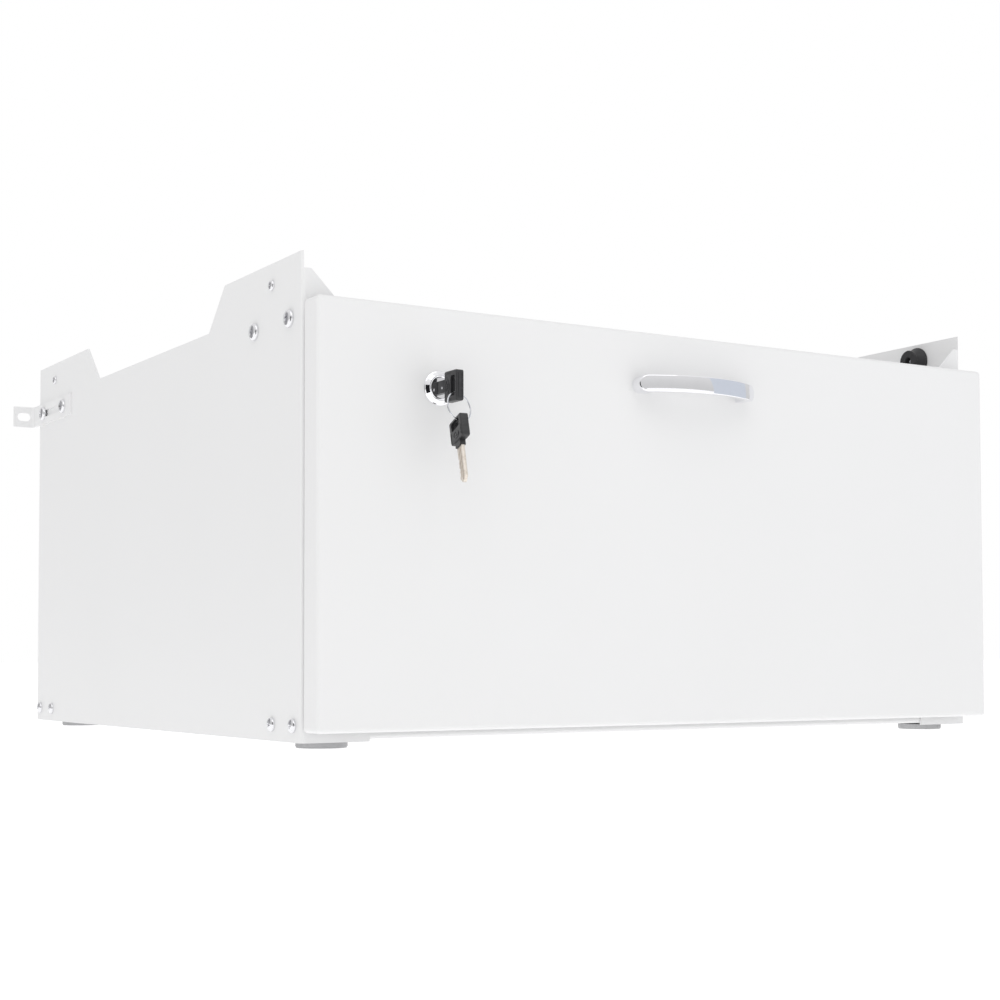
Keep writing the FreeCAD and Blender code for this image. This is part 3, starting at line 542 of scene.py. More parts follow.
def colour_value(name, description, default):
    return FloatVectorProperty(name=name, description=description, default=default, subtype="COLOR",
                               min=0.0, max=1.0)


def length_value(name, description, default):
    return FloatProperty(name=name, description=description, default=default, subtype="DISTANCE",
                         unit="LENGTH", precision=5)


def share_value(name, description, default):
    return FloatProperty(name=name, description=description, default=default, subtype="FACTOR",
                         min=0.0, max=1.0)


def angle_value(name, description, default):
    return FloatProperty(name=name, description=description, default=math.radians(default),
                         subtype="ANGLE", unit="ROTATION")


class StageSettings(PropertyGroup):
    """Camera, floor and light."""
    eye: FloatVectorProperty(name="Eye", description="Place of the camera", subtype="TRANSLATION",
                             unit="LENGTH", default=(-0.83986, -1.37323, 0.06249))
    yaw: angle_value("Yaw", "Turn of the view from straight at the front towards the right", 31.7696)
    pitch: angle_value("Pitch", "Rise of the view above level", 2.574)
    roll: angle_value("Roll", "Turn of the camera about its view", -0.146)
    lens: FloatProperty(name="Lens", description="Focal length in millimetres", default=63.223)
    rise: FloatProperty(name="Rise", description="Upward shift of the lens, as a share of the frame",
                        default=0.0796)
    floor: colour_value("Floor", "Colour of the floor", (0.40, 0.40, 0.40))
    floor_glow: FloatProperty(name="Floor glow", description="Light given off by the floor sweep",
                              default=0.84, min=0.0)
    floor_size: length_value("Floor size", "Side of the floor", 60.0)
    room: FloatProperty(name="Room", description="Brightness of the room seen behind the object",
                        default=1.0, min=0.0)
    wall: FloatProperty(name="Walls", description="Brightness of the room as light", default=0.635,
                        min=0.0)
    ceiling: FloatProperty(name="Ceiling", description="Brightness added overhead", default=0.30,
                           min=0.0)
    key_place: FloatVectorProperty(name="Key light place", description="Place of the overhead light",
                                   subtype="TRANSLATION", unit="LENGTH", default=(-0.5, -1.3, 1.9))
    key_power: FloatProperty(name="Key light", description="Power of the overhead light", default=6.0,
                             subtype="POWER", unit="POWER")
    key_size: length_value("Key light size", "Side of the overhead light", 1.8)
    dark_card: colour_value("Dark card", "Tone of the black flag at the left", (0.012, 0.012, 0.014))
    cool_card: colour_value("Cool card", "Tone of the blue-grey card at the right", (0.64, 0.68, 0.75))
    grey_card: colour_value("Grey card", "Tone of the grey card behind the left side", (0.34, 0.34, 0.35))


class ColourSettings(PropertyGroup):
    """Colours of the finishes; each shade is the darker or paler tone in the same finish."""
    powder: colour_value("Powder coat", "White powder coat", (0.83, 0.83, 0.835))
    powder_shade: colour_value("Powder coat shade", "Its duller tone", (0.78, 0.78, 0.78))
    zinc: colour_value("Zinc", "Zinc plating", (0.62, 0.63, 0.65))
    zinc_shade: colour_value("Zinc shade", "Its duller patches", (0.46, 0.47, 0.49))
    screw: colour_value("Screws", "Bright plating", (0.80, 0.80, 0.82))
    chrome: colour_value("Chrome", "Polished chrome", (0.90, 0.90, 0.92))
    nickel: colour_value("Key blade", "Nickel silver", (0.78, 0.72, 0.65))
    nickel_shade: colour_value("Key blade shade", "Its browner tone", (0.60, 0.53, 0.46))
    rubber: colour_value("Rubber", "Black rubber", (0.018, 0.018, 0.02))
    rubber_shade: colour_value("Rubber bloom", "Its paler bloom", (0.05, 0.05, 0.053))
    plastic: colour_value("Key head", "Black plastic", (0.022, 0.022, 0.024))
    plastic_shade: colour_value("Key head shade", "Its paler tone", (0.045, 0.045, 0.048))
    glide: colour_value("Feet", "Grey plastic of the feet", (0.45, 0.45, 0.46))
    glide_shade: colour_value("Feet shade", "Its darker tone", (0.31, 0.31, 0.32))
    bumper: colour_value("Bumpers", "Clear front bumpers", (0.85, 0.85, 0.85))


class FastenerSettings(PropertyGroup):
    """Shapes of the screws, rivets and nuts; their sizes and places come from the frame."""
    recess: share_value("Recess", "Width of the cross recess, as a share of the head", 0.60)
    recess_wing: share_value("Recess wing", "Thickness of a wing, as a share of the head", 0.15)
    recess_depth: share_value("Recess depth", "Depth of the recess, as a share of the head's height", 0.66)
    recess_taper: share_value("Recess taper", "Width left at the bottom of the recess", 0.42)
    fullness: FloatProperty(name="Fullness", description="Roundness of a pan head; higher is squarer",
                            default=2.7, min=2.0, max=6.0)
    rim: share_value("Rim", "Straight side of a head, as a share of its height", 0.22)
    pitch: share_value("Pitch", "Thread pitch, as a share of the shank's diameter", 0.17)
    thread: share_value("Thread depth", "Thread depth, as a share of the shank's radius", 0.14)
    chamfer: share_value("Nut chamfer", "Height of a nut's chamfer, as a share of its height", 0.14)
    seed: IntProperty(name="Seed", description="Seed of the screws' turns", default=7)


class HandleSettings(PropertyGroup):
    """Bow handle."""
    thickness: length_value("Thickness", "Thickness of the band", 4.5 * MM)
    shoulder: length_value("Shoulder", "Reach of the band's ends", 10 * MM)
    post: length_value("Post", "Length of a post along the handle", 11.5 * MM)
    edge: length_value("Edge", "Rounding of the front edges", 1.0 * MM)
    back_edge: length_value("Back edge", "Rounding of the back edges", 0.7 * MM)
    crown: length_value("Crown", "Rise of the band's middle line above its edges", 0.35 * MM)
    fillet: length_value("Fillet", "Rounding between a post and the band", 2.0 * MM)
    stations: IntProperty(name="Stations", description="Sections along each side of the band", default=120)


class LockSettings(PropertyGroup):
    """Cam lock."""
    seat: length_value("Seat", "Radius of the inner ring's crest", 8.2 * MM)
    ring: length_value("Ring", "Half width of the inner ring", 0.5 * MM)
    groove: length_value("Groove", "Width of the groove round the inner ring", 0.35 * MM)
    groove_depth: length_value("Groove depth", "Depth of that groove", 0.7 * MM)
    rim: length_value("Rim", "Radius of the flank's front edge", 9.4 * MM)
    flank: length_value("Flank", "Radius of the flank's foot", 11.5 * MM)
    flank_foot: length_value("Flank foot", "Height of the flank's foot", 1.3 * MM)
    bore: length_value("Bore", "Radius of the plug's bore", 7.55 * MM)
    barrel: length_value("Barrel", "Outer radius of the barrel's thread", 9.0 * MM)
    recess: length_value("Recess", "Depth of the plug's face behind the rim", 0.8 * MM)
    face_chamfer: length_value("Face chamfer", "Chamfer round the plug's face", 0.35 * MM)
    pitch: length_value("Pitch", "Thread pitch of the barrel", 1.0 * MM)
    thread: length_value("Thread depth", "Depth of the barrel's thread", 0.45 * MM)
    way_width: length_value("Key way width", "Width of the key way", 3.0 * MM)
    way_height: length_value("Key way height", "Height of the key way", 9.1 * MM)
    tail: length_value("Tail", "Side of the plug's square tail", 7.0 * MM)


class KeySettings(PropertyGroup):
    """Keys and ring."""
    head_width: length_value("Head width", "Across the head", 21.7 * MM)
    head_length: length_value("Head length", "Along the head", 16.9 * MM)
    head_thickness: length_value("Head thickness", "Thickness of the head", 6.2 * MM)
    head_edge: length_value("Head edge", "Rounding of the head's rim", 0.8 * MM)
    head_drop: length_value("Head drop", "Head's middle beside the blade's middle", 1.2 * MM)
    corner: length_value("Corner", "Rounding of the head's corners", 1.6 * MM)
    slot_width: length_value("Slot width", "Width of the ring slot", 3.8 * MM)
    slot_length: length_value("Slot length", "Length of the ring slot", 12.0 * MM)
    slot_strip: length_value("Slot strip", "End of the head to the ring slot", 3.0 * MM)
    recess_rim: length_value("Recess rim", "Width of the recess round the slot", 1.2 * MM)
    recess_depth: length_value("Recess depth", "Depth of the recess round the slot", 2.1 * MM)
    rib: length_value("Rib", "Height of the ribs and the relief", 0.35 * MM)
    rib_width: length_value("Rib width", "Width of a rib", 0.7 * MM)
    neck_width: length_value("Neck width", "Width of the neck", 9.0 * MM)
    neck_thickness: length_value("Neck thickness", "Thickness of the neck", 4.5 * MM)
    neck_length: length_value("Neck length", "Length of the first key's neck", 10.1 * MM)
    spare_neck: length_value("Spare neck", "Length of the spare key's neck", 4.0 * MM)
    pin: length_value("Pin", "Radius of the pin in the neck", 0.9 * MM)
    blade_width: length_value("Blade width", "Width of the blade", 8.5 * MM)
    blade_thickness: length_value("Blade thickness", "Thickness of the blade", 2.4 * MM)
    blade_length: length_value("Blade length", "Length of the blade in the lock", 20.0 * MM)
    blade_root: share_value("Blade root", "Width of the root and of the point", 0.8)
    cuts: FloatVectorProperty(name="Cuts", description="Depths of the blade's cuts", size=4,
                              unit="LENGTH", default=(1.2 * MM, 0.7 * MM, 1.5 * MM, 0.9 * MM))
    groove: length_value("Groove", "Depth of the blade's grooves", 0.6 * MM)
    ring_radius: length_value("Ring radius", "Mean radius of the key ring", 10.6 * MM)
    ring_wire: length_value("Ring wire", "Half thickness of the ring", 0.55 * MM)
    ring_room: length_value("Ring room", "Clearance between the ring and a slot", 0.35 * MM)
    ring_play: length_value("Ring play", "Room beside a slot's end", 0.3 * MM)
    ring_lean: angle_value("Ring lean", "Ring's lower edge hangs forward", 15.0)
    ring_turn: angle_value("Ring turn", "Turn of the ring about the vertical", 12.0)
    spare_lean: angle_value("Spare lean", "Spare key's tip hangs forward", 16.6)
    spare_turn: angle_value("Spare turn", "Turn of the spare key about the vertical", 9.0)


class RubberSettings(PropertyGroup):
    """Buffers, feet and front bumpers."""
    flange: length_value("Flange", "Thickness of a buffer's flange", 1.6 * MM)
    waist: length_value("Waist", "Radius of a buffer's waist", 9.3 * MM)
    hollow: FloatProperty(name="Hollow", description="Hollowness of a buffer's side; 1 is a plain cone",
                          default=1.35, min=1.0, max=3.0)
    nose: length_value("Nose", "Thickness of a buffer's nose", 3.0 * MM)
    nose_edge: length_value("Nose edge", "Rounding of the nose", 0.9 * MM)
    bore: length_value("Bore", "Radius of the screw bore", 3.5 * MM)
    bore_depth: length_value("Bore depth", "Depth of the screw bore", 6.0 * MM)
    insert: length_value("Insert", "Radius of the metal insert in the bore", 2.9 * MM)
    insert_rise: length_value("Insert rise", "Height of the metal insert", 2.2 * MM)
    sole: length_value("Sole", "Thickness of a foot's sole", 0.9 * MM)
    stud: length_value("Stud", "Radius of a foot's stud", 4.0 * MM)


# --- Stage -----------------------------------------------------------------------------------

BLACK = (0, 0, 0)
WHITE = (1, 1, 1)
DULL = 0.9                      # roughness of the floor and the cards
FLAG_ASIDE = 0.50               # dark flag from the lock, to the left
FLAG_AHEAD = 0.31               # and in front of the drawer's face
FLAG_LEVEL = 0.24
FLAG_SIZE = (0.42, 0.46)
COOL_CARD_PLACE = (1.5, -1.1, 0.7)
COOL_CARD_SIZE = (1.5, 1.6)
GREY_CARD_PLACE = (-1.3, 1.2, 0.5)
GREY_CARD_AIM = (-0.32, 0.0, 0.2)
GREY_CARD_SIZE = (0.9, 1.2)


def make_camera(stage):
    data = bpy.data.cameras.new("view")
    data.lens = stage.lens
    data.shift_y = stage.rise
    data.clip_start = 0.01
    data.clip_end = 2 * stage.floor_size
    camera = bpy.data.objects.new("view", data)
    bpy.context.scene.collection.objects.link(camera)
    turn = Euler((math.pi / 2 + stage.pitch, 0, -stage.yaw)).to_matrix()
    turn = turn @ Matrix.Rotation(stage.roll, 3, "Z")
    camera.matrix_world = Matrix.Translation(stage.eye) @ turn.to_4x4()
    bpy.context.scene.camera = camera


def glowing_sheet(name, width, height, base, glow, strength):
    """Flat sheet that gives off light of its own and has no shine."""
    across, up = width / 2, height / 2
    mesh = bpy.data.meshes.new(name)
    mesh.from_pydata([(-across, -up, 0), (across, -up, 0), (across, up, 0), (-across, up, 0)], [],
                     [(0, 1, 2, 3)])
    sheet = bpy.data.objects.new(name, mesh)
    bpy.context.scene.collection.objects.link(sheet)
    material = bpy.data.materials.new(name)
    material.use_nodes = True
    shader = material.node_tree.nodes["Principled BSDF"]
    looks = {"Base Color": (*base, 1), "Roughness": DULL, "Specular IOR Level": 0.0,
             "Emission Color": (*glow, 1), "Emission Strength": strength}
    for socket, value in looks.items():
        shader.inputs[socket].default_value = value
    mesh.materials.append(material)
    return sheet


def make_floor(stage):
    """Pale sweep that gives off a little light, so that shadows on it stay soft."""
    size = stage.floor_size
    glowing_sheet("floor", size, size, stage.floor, WHITE, stage.floor_glow)


def make_key_light(stage):
    """Soft overhead light in front of the cabinet."""
    data = bpy.data.lights.new("key", "AREA")
    data.energy = stage.key_power
    data.shape = "SQUARE"
    data.size = stage.key_size
    light = bpy.data.objects.new("key", data)
    bpy.context.scene.collection.objects.link(light)
    light.matrix_world = along(Vector(stage.key_place), Vector(stage.key_place))


def make_card(name, colour, place, aim, width, height):
    """Card that is seen only in polished things: it neither lights nor shades anything."""
    card = glowing_sheet(name, width, height, BLACK, colour, 1.0)
    way = (Vector(aim) - Vector(place)).normalized()
    card.matrix_world = Matrix.Translation(place) @ way.to_track_quat("Z", "Y").to_matrix().to_4x4()
    card.visible_camera = False
    card.visible_diffuse = False
    card.visible_shadow = False
    card.visible_transmission = False


def make_cards(stage):
    """A black flag and two toned cards, placed round the polished lock and handle."""
    lock = (LOCK_AXIS.x, FRONT_FACE, LOCK_AXIS.z)
    flag_place = (lock[0] - FLAG_ASIDE, lock[1] - FLAG_AHEAD, FLAG_LEVEL)
    make_card("dark_flag", stage.dark_card, flag_place, lock, *FLAG_SIZE)
    make_card("cool_card", stage.cool_card, COOL_CARD_PLACE, lock, *COOL_CARD_SIZE)
    make_card("grey_card", stage.grey_card, GREY_CARD_PLACE, GREY_CARD_AIM, *GREY_CARD_SIZE)


def make_room(stage):
    """White studio, brighter overhead. Seen directly, it is one even tone."""
    world = bpy.data.worlds.new("room")
    bpy.context.scene.world = world
    world.use_nodes = True
    tree = Tree(world.node_tree)
    background = world.node_tree.nodes["Background"]
    height = tree.parts(tree.node("ShaderNodeTexCoord", output="Generated"))[2]
    light = stage.wall + height.ramp(-0.1, 0.9) * stage.ceiling
    seen = tree.node("ShaderNodeLightPath", output="Is Camera Ray")
    strength = light * (1 - seen) + seen * stage.room
    world.node_tree.links.new(strength.out, background.inputs["Strength"])
    background.inputs["Color"].default_value = (1, 1, 1, 1)


class CABINET_OT_stage(Operator):
    """Make the camera, the floor and the studio light"""
    bl_idname = "cabinet.stage"
    bl_label = "Stage"

    def execute(self, context):
        stage = context.scene.cabinet_stage
        context.scene.view_settings.view_transform = "Standard"
        make_camera(stage)
        make_floor(stage)
        make_key_light(stage)
        make_cards(stage)
        make_room(stage)
        return {"FINISHED"}


# --- Operators -------------------------------------------------------------------------------

class CABINET_OT_finishes(Operator):
    """Make the finishes and give them to the metal parts of the frame"""
    bl_idname = "cabinet.finishes"
    bl_label = "Finishes"

    def execute(self, context):
        colours = context.scene.cabinet_colours
        powder_finish(colours)
        zinc_finish(colours)
        screw_finish(colours)
        chrome_finish(colours)
        nickel_finish(colours)
        rubber_finish(colours)
        plastic_finish("black_plastic", colours.plastic, colours.plastic_shade, 0.30)
        plastic_finish("grey_plastic", colours.glide, colours.glide_shade, 0.45)
        bumper_finish(colours)
        for name, node in frame["nodes"].items():
            if not node.material_slots:
                node.data.materials.append(None)
            for slot in node.material_slots:
                slot.material = FINISHES[SLOT_OF[name]]
        return {"FINISHED"}


def screw_tree(name, recess, material, seed):
    """Geometry Nodes tree for a screw or a rivet: domed head with its recess, threaded shank."""
    tree = Grower(name)
    radius, height = tree.size("Head radius"), tree.size("Head height")
    shank, depth = tree.size("Shank radius"), tree.size("Shank length")
    fullness, rim = tree.size("Fullness"), tree.size("Rim")
    width, wing = tree.size("Recess width"), tree.size("Recess wing")
    sunk, taper = tree.size("Recess depth"), tree.size("Recess taper")
    pitch, thread = tree.size("Pitch"), tree.size("Thread depth")

    blank = tree.node("GeometryNodeMeshCylinder", {"fill_type": "TRIANGLE_FAN"},
                      {"Vertices": 40, "Side Segments": 1, "Fill Segments": 8,
                       "Radius": radius, "Depth": height})
    x, y, z = tree.parts(tree.node("GeometryNodeInputPosition"))
    share = (x * x + y * y) ** 0.5 / radius
    upper = z > 0
    angle = share * (math.pi / 2)
    power = 2 / fullness
    spread = angle.sine() ** power / share.least(0.0001)
    scale = upper * spread + (1 - upper)
    top = rim * height + (1 - rim) * height * (angle.cosine().least(0) ** power)
    head = tree.reshape(blank, tree.join(x * scale, y * scale, upper * top))

    if recess == "cross":
        wings = []
        for size in (tree.join(width, wing, sunk * 2), tree.join(wing, width, sunk * 2)):
            bar = tree.node("GeometryNodeMeshCube", None, {"Size": size})
            narrow = taper + (1 - taper) * (z > 0)
            bar = tree.reshape(bar, tree.join(x * narrow, y * narrow, z))
            wings.append(tree.place(bar, tree.join(0, 0, height)))
        head = tree.boolean("DIFFERENCE", head, wings)
    else:
        hole = tree.node("GeometryNodeMeshCylinder", None,
                         {"Vertices": 20, "Radius": width / 2, "Depth": sunk * 2})
        head = tree.boolean("DIFFERENCE", head, [tree.place(hole, tree.join(0, 0, height))])

    bar = tree.node("GeometryNodeMeshCylinder", {"fill_type": "TRIANGLE_FAN"},
                    {"Vertices": 20, "Side Segments": 44, "Radius": shank, "Depth": depth})
    ridge = 1 - thread * abs((z * math.pi / pitch).sine())
    bar = tree.reshape(bar, tree.join(x * ridge, y * ridge, z - depth / 2))
    whole = tree.node("GeometryNodeJoinGeometry", None, {"Geometry": [head, bar]})
    tree.end(whole, material, seed)
    return tree


def nut_tree(name, material, seed):
    """Geometry Nodes tree for a hexagon nut with chamfered corners."""
    tree = Grower(name)
    flats, height, bore = tree.size("Flats radius"), tree.size("Height"), tree.size("Bore radius")
    chamfer = tree.size("Chamfer")
    corner = flats / math.cos(math.pi / 6)
    x, y, z = tree.parts(tree.node("GeometryNodeInputPosition"))
    blank = tree.node("GeometryNodeMeshCylinder", None, {"Vertices": 6, "Radius": corner, "Depth": height})
    round_bar = tree.node("GeometryNodeMeshCylinder", None,
                          {"Vertices": 36, "Side Segments": 3,
                           "Radius": corner * 1.02, "Depth": height * 1.02})
    end = abs(z) > height * 0.4
    scale = 1 - end * (1 - 0.97 * flats / corner)
    level = z * (end + (1 - end) * 3 * (1 - 2 * chamfer))
    round_bar = tree.reshape(round_bar, tree.join(x * scale, y * scale, level))
    shape = tree.boolean("INTERSECT", blank, [round_bar])
    hole = tree.node("GeometryNodeMeshCylinder", None, {"Vertices": 32, "Radius": bore, "Depth": height * 2})
    shape = tree.boolean("DIFFERENCE", shape, [hole])
    tree.end(tree.place(shape, tree.join(0, 0, height / 2)), material, seed)
    return tree


SCREWS = [
    # node, axis (None: outwards from the side), recess, head height and shank radius
    ("deck_bolts", None, "cross", 3.6 * MM, 3.0 * MM),
    ("base_bolts", None, "cross", 3.0 * MM, 2.5 * MM),
    ("buffer_screws", None, "cross", 2.4 * MM, 2.0 * MM),
    ("back_rivets", Y, "hole", 1.0 * MM, 1.6 * MM),
    ("handle_screws", Y, "cross", 2.4 * MM, 2.0 * MM),
    ("front_screws", Y, "hole", 1.0 * MM, 1.6 * MM),
    ("cam_screw", Y, "cross", 3.0 * MM, 2.5 * MM),
]
NUTS = [
    # node, axis (None: inwards from the side) and bore radius
    ("deck_nuts", None, 3.0 * MM),
    ("base_nuts", None, 2.5 * MM),
    ("foot_nuts", Z, 4.0 * MM),
    ("lock_nut", Y, 9.0 * MM),
]


class CABINET_OT_fasteners(Operator):
    """Make the screws, rivets and nuts at the places that the frame gives"""
    bl_idname = "cabinet.fasteners"
    bl_label = "Screws, rivets and nuts"

    def execute(self, context):
        settings = context.scene.cabinet_fasteners
        for row in SCREWS:
            self.screws(settings, *row)
        for row in NUTS:
            self.nuts(settings, *row)
        return {"FINISHED"}

    def screws(self, settings, node, axis, recess, height, shank):
        places = []
        for low, high in solids(node):
            middle = (low + high) / 2
            out = axis or (X if middle.x > 0 else -X)
            size = high - low
            whole = abs(size.dot(out))
            length = whole - height
            places.append((middle + out * (whole / 2 - height), out))
            radius = size.z / 2
        slot = SLOT_OF[node]
        tree = screw_tree(node, recess, FINISHES[slot], settings.seed if recess == "cross" else None)
        cross = recess == "cross"
        piece = tree.grow(f"{node}_set", places, {
            "Head radius": radius, "Head height": height, "Shank radius": shank, "Shank length": length,
            "Fullness": settings.fullness if cross else 2.0, "Rim": settings.rim,
            "Recess width": radius * 2 * settings.recess if cross else shank * 1.1,
            "Recess wing": radius * 2 * settings.recess_wing,
            "Recess depth": height * settings.recess_depth, "Recess taper": settings.recess_taper,
            "Pitch": shank * 2 * settings.pitch, "Thread depth": settings.thread if cross else 0.0})
        finished(tidied(piece), BODY_OF[node], slot, node)

    def nuts(self, settings, node, axis, bore):
        places = []
        for low, high in solids(node):
            middle, size = (low + high) / 2, high - low
            out = axis or (-X if middle.x > 0 else X)
            height = abs(size.dot(out))
            places.append((middle - out * height / 2, out))
            flats = min(value for value in size if value > height) / 2
        slot = SLOT_OF[node]
        tree = nut_tree(node, FINISHES[slot], settings.seed)
        piece = tree.grow(f"{node}_set", places, {"Flats radius": flats, "Height": height,
                                                  "Bore radius": bore, "Chamfer": settings.chamfer})
        finished(tidied(piece), BODY_OF[node], slot, node)


class CABINET_OT_rubber(Operator):
    """Make the rubber buffers, the feet and the soft bumpers"""
    bl_idname = "cabinet.rubber"
    bl_label = "Buffers, feet and bumpers"

    def execute(self, context):
        rubber = context.scene.cabinet_rubber
        self.buffers(rubber)
        self.feet(rubber)
        self.bumpers()
        return {"FINISHED"}

    def buffers(self, rubber):
        for end in ("front", "rear"):
            for side in ("left", "right"):
                node = f"rubber_buffer_{end}_{side}"
                low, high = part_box(node)
                inward = X if side == "left" else -X
                length, base = high.x - low.x, (high.z - low.z) / 2
                nose = rubber.waist + 0.5 * MM
                edge = rubber.nose_edge
                waist = [(rubber.waist + (base - rubber.waist) * (1 - s) ** rubber.hollow,
                          rubber.flange + (length - rubber.nose - rubber.flange) * s)
                         for s in (0.04, 0.12, 0.25, 0.4, 0.6, 0.8, 1.0)]
                profile = [(0, 0.2 * MM), (base - 0.6 * MM, 0)]
                profile += arc((base - 0.5 * MM, 0.5 * MM), 0.5 * MM, -90, 0, 4)
                profile += arc((base - 0.4 * MM, rubber.flange - 0.4 * MM), 0.4 * MM, 0, 60, 3)
                profile += waist
                profile += arc((nose - 0.5 * MM, length - rubber.nose + 0.5 * MM), 0.5 * MM, -60, 0, 3)
                profile += arc((nose - edge, length - edge), edge, 0, 90, 5)
                profile += arc((rubber.bore + 0.5 * MM, length - 0.5 * MM), 0.5 * MM, 90, 180, 4)
                floor = length - rubber.bore_depth
                profile += arc((rubber.bore - 0.4 * MM, floor + 0.4 * MM), 0.4 * MM, 0, -90, 3)
                profile += [(0, floor)]
                middle = (low + high) / 2
                seat = middle - inward * (length / 2)
                piece = turned(f"buffer_{end}_{side}", profile, along(seat, inward), 64)
                finished(piece, "cabinet", "black_rubber", node)
                crest, round_edge = floor + rubber.insert_rise, 0.3 * MM
                insert = [(0, floor), (rubber.insert, floor), (rubber.insert, crest - round_edge)]
                insert += arc((rubber.insert - round_edge, crest - round_edge), round_edge, 0, 90, 3)
                insert += [(1.4 * MM, crest), (1.2 * MM, floor + 0.6 * MM), (0, floor + 0.5 * MM)]
                piece = turned(f"buffer_insert_{end}_{side}", insert, along(seat, inward), 40)
                finished(piece, "cabinet", "bright_screw")

    def feet(self, rubber):
        for end in ("front", "rear"):
            for side in ("left", "right"):
                node = f"foot_{end}_{side}"
                low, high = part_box(node)
                middle = (low + high) / 2
                radius = (high.x - low.x) / 2
                seat = Vector((middle.x, middle.y, 0))
                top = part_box("side_panel_left")[0].z
                inset = 0.5 * MM
                profile = [(0, 0)]
                profile += arc((radius - inset - 0.4 * MM, 0.4 * MM), 0.4 * MM, -90, 0, 3)
                profile += [(radius - inset, rubber.sole), (radius - 0.2 * MM, rubber.sole)]
                profile += arc((radius - 0.3 * MM, rubber.sole + 0.3 * MM), 0.3 * MM, -60, 0, 3)
                profile += arc((radius - 0.4 * MM, top - 0.4 * MM), 0.4 * MM, 0, 90, 3)
                profile += [(rubber.stud * 1.8, top), (rubber.stud * 1.7, top - 0.6 * MM),
                            (rubber.stud, top - 0.6 * MM), (0, top - 0.6 * MM)]
                pad = turned(f"foot_pad_{end}_{side}", profile, along(seat, Z), 72)
                finished(pad, "cabinet", "grey_plastic", node)
                stud = [(0, top - 1.0 * MM)]
                stud += threaded(rubber.stud, top - 1.0 * MM, high.z - 0.6 * MM, 1.25 * MM, 0.55 * MM)
                stud += [(rubber.stud * 0.7, high.z), (0, high.z)]
                piece = turned(f"foot_stud_{end}_{side}", stud, along(seat, Z), 32)
                finished(piece, "cabinet", "zinc_steel")

    def bumpers(self):
        places = []
        for low, high in solids("front_bumpers"):
            middle = (low + high) / 2
            height, radius = high.y - low.y, (high.x - low.x) / 2
            places.append((Vector((middle.x, high.y, middle.z)), -Y))
        tree = Grower("front_bumpers")
        size, rise = tree.size("Radius"), tree.size("Height")
        blank = tree.node("GeometryNodeMeshCylinder", {"fill_type": "TRIANGLE_FAN"},
                          {"Vertices": 36, "Fill Segments": 9, "Radius": size, "Depth": rise})
        x, y, z = tree.parts(tree.node("GeometryNodeInputPosition"))
        share = (x * x + y * y) ** 0.5 / size
        upper = z > 0
        angle = share * (math.pi / 2)
        spread = angle.sine() ** 0.7 / share.least(0.0001)
        scale = upper * spread + (1 - upper)
        dome = 0.25 * rise + 0.75 * rise * (angle.cosine().least(0) ** 0.7)
        domed = tree.reshape(blank, tree.join(x * scale, y * scale, upper * dome))
        tree.end(domed, FINISHES["clear_bumper"])
        piece = tree.grow("front_bumper_set", places, {"Radius": radius, "Height": height})
        finished(tidied(piece), "cabinet", "clear_bumper", "front_bumpers")


